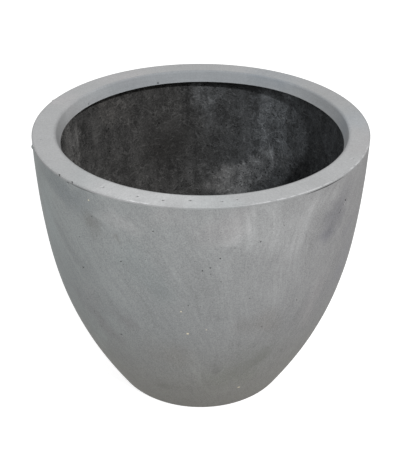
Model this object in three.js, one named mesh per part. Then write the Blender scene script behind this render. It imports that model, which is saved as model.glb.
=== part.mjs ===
// Round bowl planter in fibre-reinforced concrete.
//
// Frame: millimetres, +Z up, origin at the centre of the base, on the floor it stands on.
//
// The pot is a turned form in four bonded layers and pieces. A stone-grey face coat gives the outside.
// A dark fibre laminate stiffens it from behind and makes the inner floor. A collar, cast by itself,
// caps both: it has a flat top, a lip that hangs inside the mouth and leans in towards its foot, and a
// rebate that drops inside the top edge of the face coat. A cove of mortar under the collar holds it to
// the laminate. A soft bung closes the drain hole in the middle of the floor, and pulls straight up.
//
// Every section is drawn in a plane through the axis, with x as radius and y as height. The outer line
// of a section runs upwards and its inner line runs down, so that the turned faces point outwards.

import * as THREE from "three";

// Outline of the outside wall: one Bezier curve from the rim down to the floor.
const HEIGHT = 430;
const RIM_RADIUS = 250;
const BASE_RADIUS = 140; // where the wall's line would meet the floor, without the base fillet
const RIM_LEAN = 0.9; // degrees that the wall leans from upright at the rim
const BASE_LEAN = 31; // degrees that the wall leans from upright at the base
const RIM_PULL = 210; // how far the wall keeps the rim's lean before it turns in
const BASE_PULL = 152; // the same, from the base upwards
const BASE_FILLET = 12;

// Face coat.
const FACE_THICKNESS = 5;
const FACE_FLOOR = 6;
const FACE_CORNER = 15; // cove between the wall and the floor, on the laminate's side
const FOOT_WIDTH = 24; // flat ring that the planter stands on
const FOOT_RECESS = 2.5; // height of the hollow inside that ring
const FOOT_SLOPE = 3;

// Fibre laminate.
const LINING_THICKNESS = 7;
const LINING_FLOOR = 8;
const LINING_CORNER = 30;

// Collar.
const COLLAR_WIDTH = 33; // from the outside edge in to the mouth
const LIP_DEPTH = 18;
const LIP_TAPER = 6; // how much smaller the mouth's radius is at the lip's foot than at its top
const LIP_THICKNESS = 10;
const LIP_CORNER = 3;
const PLATE_THICKNESS = 10;
const COLLAR_EDGE = 3; // height of the collar's edge that shows outside, above the face coat
const OUTER_ARRIS = 1;
const INNER_ARRIS = 3;

// Mortar cove under the collar.
const COVE_LEG = 6;
const COVE_HOLLOW = 3.6; // how far the face of the cove is drawn in from its outer feet

// Drain hole and bung.
const DRAIN_RADIUS = 11;
const DRAIN_CHAMFER = 1.5;
const BUNG_FLANGE_OVERLAP = 6; // how far the flange reaches past the hole
const BUNG_FLANGE_HEIGHT = 3.5;
const BUNG_FLANGE_ROUND = 1.5;
const BUNG_TAPER = 1;
const BUNG_RECESS = 1; // how far the bung's foot stays above the mouth of the hole
const BUNG_BORE_RADIUS = 6;
const BUNG_BORE_DEPTH = 9;

// Clearances.
const BOND_LINE = 0.3; // adhesive line between bonded pieces
const BUNG_CLEARANCE = 0.3; // between the bung and the hole, and under its flange

// Fineness of the faceted solids.
const TURN_STEPS = 64;
const BUNG_TURN_STEPS = 32;
const WALL_STEPS = 11;
const FILLET_STEPS = 4;
const SMALL_ROUND_STEPS = 3;

const MOUTH_RADIUS = RIM_RADIUS - COLLAR_WIDTH;
const LIP_LEAN = Math.atan2(LIP_TAPER, LIP_DEPTH);

// Heights that several pieces share.
const COLLAR_SEAT = HEIGHT - COLLAR_EDGE;
const PLATE_UNDERSIDE = HEIGHT - PLATE_THICKNESS;
const FACE_TOP = COLLAR_SEAT - BOND_LINE;
const LINING_TOP = PLATE_UNDERSIDE - BOND_LINE;
const FACE_FLOOR_TOP = FOOT_RECESS + FACE_FLOOR;
const LINING_UNDERSIDE = FACE_FLOOR_TOP + BOND_LINE;
const LINING_FLOOR_TOP = LINING_UNDERSIDE + LINING_FLOOR;

// Depths below the outside wall's surface that several pieces share.
const LINING_OUTER_DEPTH = FACE_THICKNESS + BOND_LINE;
const LINING_INNER_DEPTH = LINING_OUTER_DEPTH + LINING_THICKNESS;
const COVE_DEPTH = LINING_INNER_DEPTH + BOND_LINE;

const concrete = new THREE.MeshStandardMaterial({ color: 0x8f9393, roughness: 0.8, metalness: 0 });
const laminate = new THREE.MeshStandardMaterial({ color: 0x3d3d3e, roughness: 0.9, metalness: 0 });
const castRim = new THREE.MeshStandardMaterial({ color: 0xacafb1, roughness: 0.75, metalness: 0 });
const mortar = new THREE.MeshStandardMaterial({ color: 0x5a5b5c, roughness: 0.95, metalness: 0 });
const rubber = new THREE.MeshStandardMaterial({ color: 0x1b1b1c, roughness: 0.6, metalness: 0 });

function sectionPoint(radius, height) {
  return new THREE.Vector2(radius, height);
}

// The outside wall's line, from the rim at t = 0 down to the floor at t = 1.
function makeWallCurve() {
  const rimLean = THREE.MathUtils.degToRad(RIM_LEAN);
  const baseLean = THREE.MathUtils.degToRad(BASE_LEAN);
  const rim = sectionPoint(RIM_RADIUS, HEIGHT);
  const base = sectionPoint(BASE_RADIUS, 0);
  const rimHandle = sectionPoint(-Math.sin(rimLean), -Math.cos(rimLean)).multiplyScalar(RIM_PULL).add(rim);
  const baseHandle = sectionPoint(Math.sin(baseLean), Math.cos(baseLean)).multiplyScalar(BASE_PULL).add(base);
  return new THREE.CubicBezierCurve(rim, rimHandle, baseHandle, base);
}

const wallCurve = makeWallCurve();

// The direction into the wall, square to its surface: towards the axis, and up where the wall leans.
function inwardAt(t) {
  const downwards = wallCurve.getTangent(t);
  return sectionPoint(downwards.y, -downwards.x);
}

// The point that lies a given depth below the wall's surface.
function wallPoint(t, depth) {
  return wallCurve.getPoint(t).addScaledVector(inwardAt(t), depth);
}

// Where on the wall's line the surface at a given depth passes a given height.
function wallParameter(depth, height) {
  let above = 0;
  let below = 1;
  for (let halving = 0; halving < 40; halving += 1) {
    const middle = (above + below) / 2;
    if (wallPoint(middle, depth).y > height) {
      above = middle;
    } else {
      below = middle;
    }
  }
  return above;
}

function wallPointAtHeight(depth, height) {
  const point = wallPoint(wallParameter(depth, height), depth);
  return sectionPoint(point.x, height);
}

// Points on an arc about a centre, both ends included, with the angles in radians.
function arc(centre, radius, fromAngle, toAngle, steps) {
  return Array.from({ length: steps + 1 }, (_, step) => {
    const angle = fromAngle + ((toAngle - fromAngle) * step) / steps;
    return sectionPoint(centre.x + radius * Math.cos(angle), centre.y + radius * Math.sin(angle));
  });
}

// The line of a bowl-shaped surface, from its top edge down the wall and round the corner to the point
// where the flat floor begins. The corner is the arc of a ball that touches both the wall and the floor.
function bowlLine(depth, topHeight, floorHeight, cornerRadius) {
  const cornerParameter = wallParameter(depth + cornerRadius, floorHeight + cornerRadius);
  const topParameter = wallParameter(depth, topHeight);
  const wall = Array.from({ length: WALL_STEPS }, (_, step) => {
    const t = topParameter + ((cornerParameter - topParameter) * step) / WALL_STEPS;
    return wallPoint(t, depth);
  });
  wall[0].y = topHeight;
  const centre = wallPoint(cornerParameter, depth + cornerRadius);
  const towardsWall = inwardAt(cornerParameter).negate();
  const corner = arc(centre, cornerRadius, towardsWall.angle() - 2 * Math.PI, -Math.PI / 2, FILLET_STEPS);
  return [...wall, ...corner];
}

// Turns a section about the vertical axis.
function turned(name, section, material, steps) {
  const geometry = new THREE.LatheGeometry(section, steps);
  geometry.rotateX(Math.PI / 2);
  const mesh = new THREE.Mesh(geometry, material);
  mesh.name = name;
  return mesh;
}

function turnedRing(name, section, material) {
  return turned(name, [...section, section[0].clone()], material, TURN_STEPS);
}

// Face coat: the outside wall, the foot ring with the hollow inside it, and the drain hole.
function makeOuterShell() {
  const outside = bowlLine(0, FACE_TOP, 0, BASE_FILLET).reverse();
  const inside = bowlLine(FACE_THICKNESS, FACE_TOP, FACE_FLOOR_TOP, FACE_CORNER);
  const footInnerRadius = outside[0].x - FOOT_WIDTH;
  const section = [
    ...outside,
    ...inside,
    sectionPoint(DRAIN_RADIUS, FACE_FLOOR_TOP),
    sectionPoint(DRAIN_RADIUS, FOOT_RECESS + DRAIN_CHAMFER),
    sectionPoint(DRAIN_RADIUS + DRAIN_CHAMFER, FOOT_RECESS),
    sectionPoint(footInnerRadius - FOOT_SLOPE, FOOT_RECESS),
    sectionPoint(footInnerRadius, 0),
  ];
  return turnedRing("outer_shell", section, concrete);
}

// Laminate: lies against the face coat and stops under the collar's plate.
function makeFibreLining() {
  const outerCorner = FACE_CORNER - BOND_LINE;
  const outside = bowlLine(LINING_OUTER_DEPTH, LINING_TOP, LINING_UNDERSIDE, outerCorner).reverse();
  const inside = bowlLine(LINING_INNER_DEPTH, LINING_TOP, LINING_FLOOR_TOP, LINING_CORNER);
  const section = [
    ...outside,
    ...inside,
    sectionPoint(DRAIN_RADIUS, LINING_FLOOR_TOP),
    sectionPoint(DRAIN_RADIUS, LINING_UNDERSIDE),
  ];
  return turnedRing("fibre_lining", section, laminate);
}

// Radius of the lip's face at a given height. The lip leans in towards its foot.
function lipFaceRadius(height) {
  return MOUTH_RADIUS - (LIP_TAPER * (HEIGHT - height)) / LIP_DEPTH;
}

// Centre of a round between a level surface and a line that leans as the lip does and meets that surface
// at a given radius. The round lies below the surface, on the line's outer side.
function lipRoundCentre(lineRadius, surfaceHeight, radius) {
  const shift = (radius * (1 - Math.sin(LIP_LEAN))) / Math.cos(LIP_LEAN);
  return sectionPoint(lineRadius + shift, surfaceHeight - radius);
}

// Collar: a plate on the laminate's top edge, an edge over the face coat, and the hanging lip.
function makeRimRing() {
  const lipFoot = HEIGHT - LIP_DEPTH;
  const footRadius = lipFaceRadius(lipFoot);
  const rootBack = lipFaceRadius(PLATE_UNDERSIDE) + LIP_THICKNESS;
  const arrisCentre = lipRoundCentre(MOUTH_RADIUS, HEIGHT, INNER_ARRIS);
  const cornerCentre = lipRoundCentre(rootBack, PLATE_UNDERSIDE, LIP_CORNER);
  const lipSide = Math.PI - LIP_LEAN; // direction from a round's centre to where it touches the lip
  const section = [
    wallPointAtHeight(LINING_OUTER_DEPTH, PLATE_UNDERSIDE),
    wallPointAtHeight(LINING_OUTER_DEPTH, COLLAR_SEAT),
    wallPointAtHeight(0, COLLAR_SEAT),
    wallPointAtHeight(0, HEIGHT - OUTER_ARRIS),
    sectionPoint(RIM_RADIUS - OUTER_ARRIS, HEIGHT),
    ...arc(arrisCentre, INNER_ARRIS, Math.PI / 2, lipSide, SMALL_ROUND_STEPS),
    sectionPoint(footRadius, lipFoot),
    sectionPoint(footRadius + LIP_THICKNESS, lipFoot),
    ...arc(cornerCentre, LIP_CORNER, lipSide, Math.PI / 2, SMALL_ROUND_STEPS),
  ];
  return turnedRing("rim_ring", section, castRim);
}

// Mortar cove in the corner between the collar's plate and the laminate, with a hollow face.
function makeRimBond() {
  const top = PLATE_UNDERSIDE - BOND_LINE;
  const corner = wallPointAtHeight(COVE_DEPTH, top);
  const foot = wallPointAtHeight(COVE_DEPTH, top - COVE_LEG);
  const plateFoot = sectionPoint(corner.x - COVE_LEG, top);
  const drawnIn = COVE_LEG - COVE_HOLLOW;
  const control = sectionPoint(corner.x - drawnIn, top - drawnIn);
  const face = new THREE.QuadraticBezierCurve(plateFoot, control, foot);
  const section = [corner, ...face.getPoints(SMALL_ROUND_STEPS)];
  return turnedRing("rim_bond", section, mortar);
}

// Bung, drawn from the underside of its flange: a flange that lies on the floor, a tapered body that
// fills the hole, and a blind bore from below that lets the body squeeze in.
function makeDrainPlug() {
  const bodyRadius = DRAIN_RADIUS - BUNG_CLEARANCE;
  const flangeRadius = DRAIN_RADIUS + BUNG_FLANGE_OVERLAP;
  const seat = LINING_FLOOR_TOP + BUNG_CLEARANCE;
  const bodyLength = seat - FOOT_RECESS - BUNG_RECESS;
  const boreEnd = BUNG_BORE_DEPTH - bodyLength;
  const roundCentre = sectionPoint(flangeRadius - BUNG_FLANGE_ROUND, BUNG_FLANGE_HEIGHT - BUNG_FLANGE_ROUND);
  const section = [
    sectionPoint(0, boreEnd),
    sectionPoint(BUNG_BORE_RADIUS, boreEnd),
    sectionPoint(BUNG_BORE_RADIUS, -bodyLength),
    sectionPoint(bodyRadius - BUNG_TAPER, -bodyLength),
    sectionPoint(bodyRadius, 0),
    sectionPoint(flangeRadius, 0),
    ...arc(roundCentre, BUNG_FLANGE_ROUND, 0, Math.PI / 2, SMALL_ROUND_STEPS),
    sectionPoint(0, BUNG_FLANGE_HEIGHT),
  ];
  const plug = turned("drain_plug", section, rubber, BUNG_TURN_STEPS);
  plug.position.z = seat;
  return plug;
}

const planter = new THREE.Group();
planter.name = "bowl_planter";
planter.add(makeOuterShell());
planter.add(makeFibreLining());
planter.add(makeRimRing());
planter.add(makeRimBond());
planter.add(makeDrainPlug());

export default planter;
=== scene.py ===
"""Looks of a round bowl planter in fibre-reinforced concrete.

The pot is dressed round the fixed frame, in metres, with +Z up and the origin at the centre of the base.
Five pieces stand for the frame's nodes: the stone face coat, the charcoal fibre laminate, the sanded
collar, the mortar cove under it and the rubber bung. Two more are finish alone: the thin bead of mortar in
the joint under the collar's edge, and the loose ends of glass fibre that lie on the laminate.

A place on the pot is given by its azimuth, in degrees from +X towards +Y, so the side that faces the camera
is at 270, and by a height or a radius.
"""

from __future__ import annotations

import logging
import math
import random
from collections.abc import Sequence
from dataclasses import dataclass
from enum import Enum
from functools import reduce
from itertools import pairwise
from typing import Any, NamedTuple

import bpy
import numpy as np
from mathutils import Euler, Matrix, Vector
from mathutils.bvhtree import BVHTree


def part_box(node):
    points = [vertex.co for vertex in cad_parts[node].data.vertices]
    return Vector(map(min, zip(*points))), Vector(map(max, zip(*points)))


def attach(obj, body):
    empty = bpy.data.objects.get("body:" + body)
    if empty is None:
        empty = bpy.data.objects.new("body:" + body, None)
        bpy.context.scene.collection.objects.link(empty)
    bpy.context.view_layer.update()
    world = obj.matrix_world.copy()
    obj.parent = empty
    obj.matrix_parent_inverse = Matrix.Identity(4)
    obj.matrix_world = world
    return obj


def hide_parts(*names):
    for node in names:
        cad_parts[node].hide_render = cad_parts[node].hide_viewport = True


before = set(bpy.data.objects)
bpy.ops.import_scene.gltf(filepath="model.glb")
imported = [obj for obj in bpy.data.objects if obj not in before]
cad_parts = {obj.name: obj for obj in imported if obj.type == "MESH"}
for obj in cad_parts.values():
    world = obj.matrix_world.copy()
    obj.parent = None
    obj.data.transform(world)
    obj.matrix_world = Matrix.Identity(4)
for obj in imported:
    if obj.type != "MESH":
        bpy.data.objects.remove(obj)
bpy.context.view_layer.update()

log = logging.getLogger("planter")

Colour = tuple[float, float, float]
Triple = tuple[float, float, float]  # a shift, a size or a stretch along X, Y and Z

POT_BODY = "pot"
BUNG_BODY = "plug"
WHITE: Colour = (1.0, 1.0, 1.0)
ORIGIN: Triple = (0.0, 0.0, 0.0)
UP: Triple = (0.0, 0.0, 1.0)
MILLIMETRE = 0.001
SEED_SIZE = 0.001  # edge of the plane that shrinks to a section's first point
MERGE_DISTANCE = 1e-6
SAME_HEIGHT = 1e-5
SAME_RADIUS = 1e-4
HALVINGS = 40  # steps in the search for the place where a line passes a height
WEIGHT_GRADES = 16
MARK_CUTS = 5  # how often the edges round a single mark are divided first
SECTORS = 12  # a turned piece is spun through one sector, which is then repeated round the axis


# ----------------------------------------------------------------------------------------------------------
# Sizes of the pot
# ----------------------------------------------------------------------------------------------------------


class SectionPoint(NamedTuple):
    """A point of a turned section."""

    radius: float
    height: float


def round_corner(
    centre: SectionPoint, radius: float, from_angle: float, to_angle: float, steps: int
) -> list[SectionPoint]:
    """Draws an arc of a section.

    Args:
        centre: Centre of the arc.
        radius: Radius of the arc.
        from_angle: Angle of the first point, in degrees, with 0 pointing away from the axis.
        to_angle: Angle of the last point.
        steps: Number of straight steps.

    Returns:
        The points of the arc, both ends included.
    """
    points = []
    for step in range(steps + 1):
        angle = math.radians(from_angle + (to_angle - from_angle) * step / steps)
        points.append(
            SectionPoint(centre.radius + radius * math.cos(angle), centre.height + radius * math.sin(angle))
        )
    return points


def straight_run(start: SectionPoint, end: SectionPoint, steps: int) -> list[SectionPoint]:
    """Points from start to end in even steps, without the last one."""
    return [
        SectionPoint(
            start.radius + (end.radius - start.radius) * step / steps,
            start.height + (end.height - start.height) * step / steps,
        )
        for step in range(steps)
    ]


@dataclass(frozen=True)
class WallLine:
    """The outside wall's line: one Bezier curve from the rim, at 0, down to the floor, at 1."""

    height: float
    rim_radius: float = 0.250
    base_radius: float = 0.140
    rim_lean: float = 0.9
    base_lean: float = 31.0
    rim_pull: float = 0.210
    base_pull: float = 0.152

    def _corners(self) -> tuple[Vector, Vector, Vector, Vector]:
        """The curve's two ends and the two handles between them."""
        upper, lower = math.radians(self.rim_lean), math.radians(self.base_lean)
        rim = Vector((self.rim_radius, self.height))
        base = Vector((self.base_radius, 0.0))
        rim_handle = rim - self.rim_pull * Vector((math.sin(upper), math.cos(upper)))
        base_handle = base + self.base_pull * Vector((math.sin(lower), math.cos(lower)))
        return rim, rim_handle, base_handle, base

    def inward(self, share: float) -> Vector:
        """Finds the direction into the wall, square to its surface.

        Args:
            share: Place on the line, from 0 at the rim to 1 at the floor.

        Returns:
            The direction, along the radius and the height.
        """
        rim, rim_handle, base_handle, base = self._corners()
        rest = 1.0 - share
        down = (
            (rim_handle - rim) * rest * rest
            + (base_handle - rim_handle) * 2.0 * rest * share
            + (base - base_handle) * share * share
        ).normalized()
        return Vector((down.y, -down.x))

    def point(self, share: float, depth: float = 0.0) -> SectionPoint:
        """Finds the point that lies a given depth below the wall's surface.

        Args:
            share: Place on the line, from 0 at the rim to 1 at the floor.
            depth: The depth.

        Returns:
            The point.
        """
        rim, rim_handle, base_handle, base = self._corners()
        rest = 1.0 - share
        on_line = (
            rim * rest**3
            + rim_handle * 3.0 * rest * rest * share
            + base_handle * 3.0 * rest * share * share
            + base * share**3
        )
        place = on_line + self.inward(share) * depth
        return SectionPoint(place.x, place.y)

    def share_at(self, depth: float, height: float) -> float:
        """Finds where the surface at a given depth passes a given height.

        Args:
            depth: Depth of the surface below the outside wall.
            height: The height.

        Returns:
            The place on the line, from 0 at the rim to 1 at the floor.
        """
        above, below = 0.0, 1.0
        for _ in range(HALVINGS):
            middle = (above + below) / 2.0
            if self.point(middle, depth).height > height:
                above = middle
            else:
                below = middle
        return above

    def at_height(self, depth: float, height: float) -> SectionPoint:
        """The point of the surface at a given depth that has a given height."""
        return SectionPoint(self.point(self.share_at(depth, height), depth).radius, height)

    def bowl(
        self, depth: float, top: float, floor: float, corner: float, wall_steps: int, corner_steps: int
    ) -> list[SectionPoint]:
        """Draws a bowl-shaped surface, from its top edge to the point where the flat floor begins.

        Args:
            depth: Depth of the surface below the outside wall.
            top: Height of its top edge.
            floor: Height of its floor.
            corner: Radius of the corner, which touches both the wall and the floor.
            wall_steps: Number of steps down the wall.
            corner_steps: Number of steps round the corner.

        Returns:
            The points of the line, from the top down.
        """
        corner_share = self.share_at(depth + corner, floor + corner)
        top_share = self.share_at(depth, top)
        wall = [
            self.point(top_share + (corner_share - top_share) * step / wall_steps, depth)
            for step in range(wall_steps)
        ]
        wall[0] = SectionPoint(wall[0].radius, top)
        centre = self.point(corner_share, depth + corner)
        outward = -self.inward(corner_share)
        from_angle = math.degrees(math.atan2(outward.y, outward.x))
        return wall + round_corner(centre, corner, from_angle, -90.0, corner_steps)


def radius_along(line: Sequence[SectionPoint], height: np.ndarray) -> np.ndarray:
    """The radius of a line that runs from the top down, at each of some heights."""
    rising = line[::-1]
    return np.interp(height, [point.height for point in rising], [point.radius for point in rising])


def ramp(values: np.ndarray, start: float, length: float) -> np.ndarray:
    """Goes from 0 to 1 as the values pass from start over a length, which is below zero where they fall."""
    return np.clip((values - start) / length, 0.0, 1.0)


@dataclass(frozen=True)
class PotSizes:
    """Sizes that several pieces share. The heights come from the frame's nodes."""

    height: float
    face_top: float
    lining_top: float
    lining_underside: float
    bung_foot: float
    bung_top: float
    bung_flange_radius: float
    wall: WallLine
    face_thickness: float = 0.005
    lining_thickness: float = 0.007
    lining_floor: float = 0.008
    bond_line: float = 0.0003
    drain_radius: float = 0.011
    collar_width: float = 0.033
    lip_depth: float = 0.018
    lip_taper: float = 0.006
    mouth_offset: Triple = (0.002, 0.0004, 0.0)  # the mouth of this casting sits a little off the axis

    @classmethod
    def from_frame(cls) -> PotSizes:
        """Reads the heights that the frame's nodes hold."""
        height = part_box("rim_ring")[1].z
        bung_low, bung_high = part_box("drain_plug")
        return cls(
            height=height,
            face_top=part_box("outer_shell")[1].z,
            lining_top=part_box("fibre_lining")[1].z,
            lining_underside=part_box("fibre_lining")[0].z,
            bung_foot=bung_low.z,
            bung_top=bung_high.z,
            bung_flange_radius=bung_high.x,
            wall=WallLine(height=height),
        )

    @property
    def lining_outer_depth(self) -> float:
        """Depth of the laminate's back below the outside wall."""
        return self.face_thickness + self.bond_line

    @property
    def lining_inner_depth(self) -> float:
        """Depth of the laminate's face below the outside wall."""
        return self.lining_outer_depth + self.lining_thickness

    @property
    def floor_top(self) -> float:
        """Height of the inner floor."""
        return self.lining_underside + self.lining_floor

    @property
    def mouth_radius(self) -> float:
        """Radius of the opening at the top of the lip."""
        return self.wall.rim_radius - self.collar_width

    @property
    def lip_lean(self) -> float:
        """Angle in radians that the lip's face leans in towards its foot."""
        return math.atan2(self.lip_taper, self.lip_depth)

    def lip_radius(self, height: float) -> float:
        """Radius of the lip's face at a height."""
        return self.mouth_radius - self.lip_taper * (self.height - height) / self.lip_depth


class Surface(Enum):
    """The surfaces that carry single marks."""

    WALL = "outside wall"
    LINING = "laminate's face"
    RIM_TOP = "collar's top"
    LIP = "lip's face"


class Spot(NamedTuple):
    """A place on the pot, with a radius round it."""

    centre: Vector
    radius: float


@dataclass(frozen=True)
class Blemish:
    """A pit, chip, nib or grain at a known place.

    Attributes:
        surface: The surface that it lies on.
        azimuth: Its azimuth, in degrees.
        level: Its height, or its radius on the collar's top.
        reach: Its radius.
        depth: How deep it goes; below zero it stands proud.
    """

    surface: Surface
    azimuth: float
    level: float
    reach: float
    depth: float = 0.0

    def spot(self, sizes: PotSizes) -> Spot:
        """Its centre and radius."""
        return Spot(place_on(sizes, self.surface, self.azimuth, self.level)[0], self.reach)


def place_on(sizes: PotSizes, surface: Surface, azimuth: float, level: float) -> tuple[Vector, Vector]:
    """Finds a place on the pot's surface.

    Args:
        sizes: The pot's sizes.
        surface: The surface that the place lies on.
        azimuth: Its azimuth, in degrees.
        level: Its height, or its radius on the collar's top.

    Returns:
        The place, and the direction into the material there.
    """
    turn = math.radians(azimuth)
    out, up = Vector((math.cos(turn), math.sin(turn), 0.0)), Vector(UP)
    if surface is Surface.RIM_TOP:
        return out * level + up * sizes.height, -up
    if surface is Surface.LIP:
        lean = sizes.lip_lean
        face = out * sizes.lip_radius(level) + Vector(sizes.mouth_offset) + up * level
        return face, out * math.cos(lean) - up * math.sin(lean)
    inside = surface is Surface.LINING
    depth = sizes.lining_inner_depth if inside else 0.0
    share = sizes.wall.share_at(depth, level)
    inward = sizes.wall.inward(share) * (-1.0 if inside else 1.0)
    point = sizes.wall.point(share, depth)
    return out * point.radius + up * point.height, out * inward.x + up * inward.y


# ----------------------------------------------------------------------------------------------------------
# Shader maths
# ----------------------------------------------------------------------------------------------------------


class Noise(NamedTuple):
    """A cloudy texture.

    Attributes:
        scale: Its lumps per metre.
        detail: How many finer layers lie on the first.
        roughness: Strength of each layer against the one before.
        strength: How much of it goes into the tone.
        bend: How far it is drawn into curls.
    """

    scale: float
    detail: float = 2.0
    roughness: float = 0.5
    strength: float = 1.0
    bend: float = 0.0


class Push(NamedTuple):
    """Noise that pushes places about: its lumps per metre, and how far it pushes."""

    scale: float
    amount: float


class Scatter(NamedTuple):
    """Scattered specks: cells per metre, a speck's radius in cells, and the share of cells that hold one."""

    cells: float
    radius: float
    share: float


class Slope(NamedTuple):
    """A smooth change from one value to another, as what it follows goes from low to high."""

    low: float
    high: float
    at_low: float = 0.0
    at_high: float = 1.0


class Wire:
    """An output of a node tree. Arithmetic on it adds Math or Vector Math nodes."""

    def __init__(self, canvas: Canvas, socket: bpy.types.NodeSocket) -> None:
        """Wraps one socket of a canvas."""
        self.canvas = canvas
        self.socket = socket

    @property
    def is_vector(self) -> bool:
        """Whether the wire carries three numbers."""
        return self.socket.type in {"VECTOR", "RGBA"}

    def _math(self, operation: str, first: Any, second: Any) -> Wire:
        """Adds a node that joins two values.

        Args:
            operation: The node's operation.
            first: Its first value: a wire, a number or three numbers.
            second: Its second value.

        Returns:
            The wire from the node.
        """
        pair = [first, second]
        kind = "ShaderNodeMath"
        if any(isinstance(one, (tuple, Vector)) or (isinstance(one, Wire) and one.is_vector) for one in pair):
            kind = "ShaderNodeVectorMath"
            pair = [(one,) * 3 if isinstance(one, (int, float)) else one for one in pair]
        return self.canvas.node(kind, {"operation": operation}, dict(enumerate(pair)))

    def __add__(self, other: Any) -> Wire:
        """Sum."""
        return self._math("ADD", self, other)

    __radd__ = __add__

    def __sub__(self, other: Any) -> Wire:
        """Difference."""
        return self._math("SUBTRACT", self, other)

    def __rsub__(self, other: Any) -> Wire:
        """Difference, with the wire second."""
        return self._math("SUBTRACT", other, self)

    def __mul__(self, other: Any) -> Wire:
        """Product."""
        return self._math("MULTIPLY", self, other)

    __rmul__ = __mul__

    def larger(self, other: Any) -> Wire:
        """The larger of two values."""
        return self._math("MAXIMUM", self, other)

    def magnitude(self) -> Wire:
        """The value without its sign."""
        return self.canvas.node("ShaderNodeMath", {"operation": "ABSOLUTE"}, {0: self})

    def length(self) -> Wire:
        """Length of a vector."""
        return self.canvas.node("ShaderNodeVectorMath", {"operation": "LENGTH"}, {0: self}, "Value")

    def part(self, axis: int) -> Wire:
        """One of the wire's three numbers."""
        return self.canvas.node("ShaderNodeSeparateXYZ", inputs={0: self}, output=axis)

    def beside(self, output: str) -> Wire:
        """Another output of the same node."""
        return Wire(self.canvas, self.socket.node.outputs[output])

    def step(self, low: float, high: float, at_low: float = 0.0, at_high: float = 1.0) -> Wire:
        """Turns smoothly from one value to another.

        Args:
            low: Where it begins. It may lie above high.
            high: Where it ends.
            at_low: The value at low and beyond.
            at_high: The value at high and beyond.

        Returns:
            The changing value.
        """
        if low > high:
            low, high, at_low, at_high = high, low, at_high, at_low
        return self.canvas.node(
            "ShaderNodeMapRange",
            {"interpolation_type": "SMOOTHSTEP"},
            {"Value": self, "From Min": low, "From Max": high, "To Min": at_low, "To Max": at_high},
        )


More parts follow.
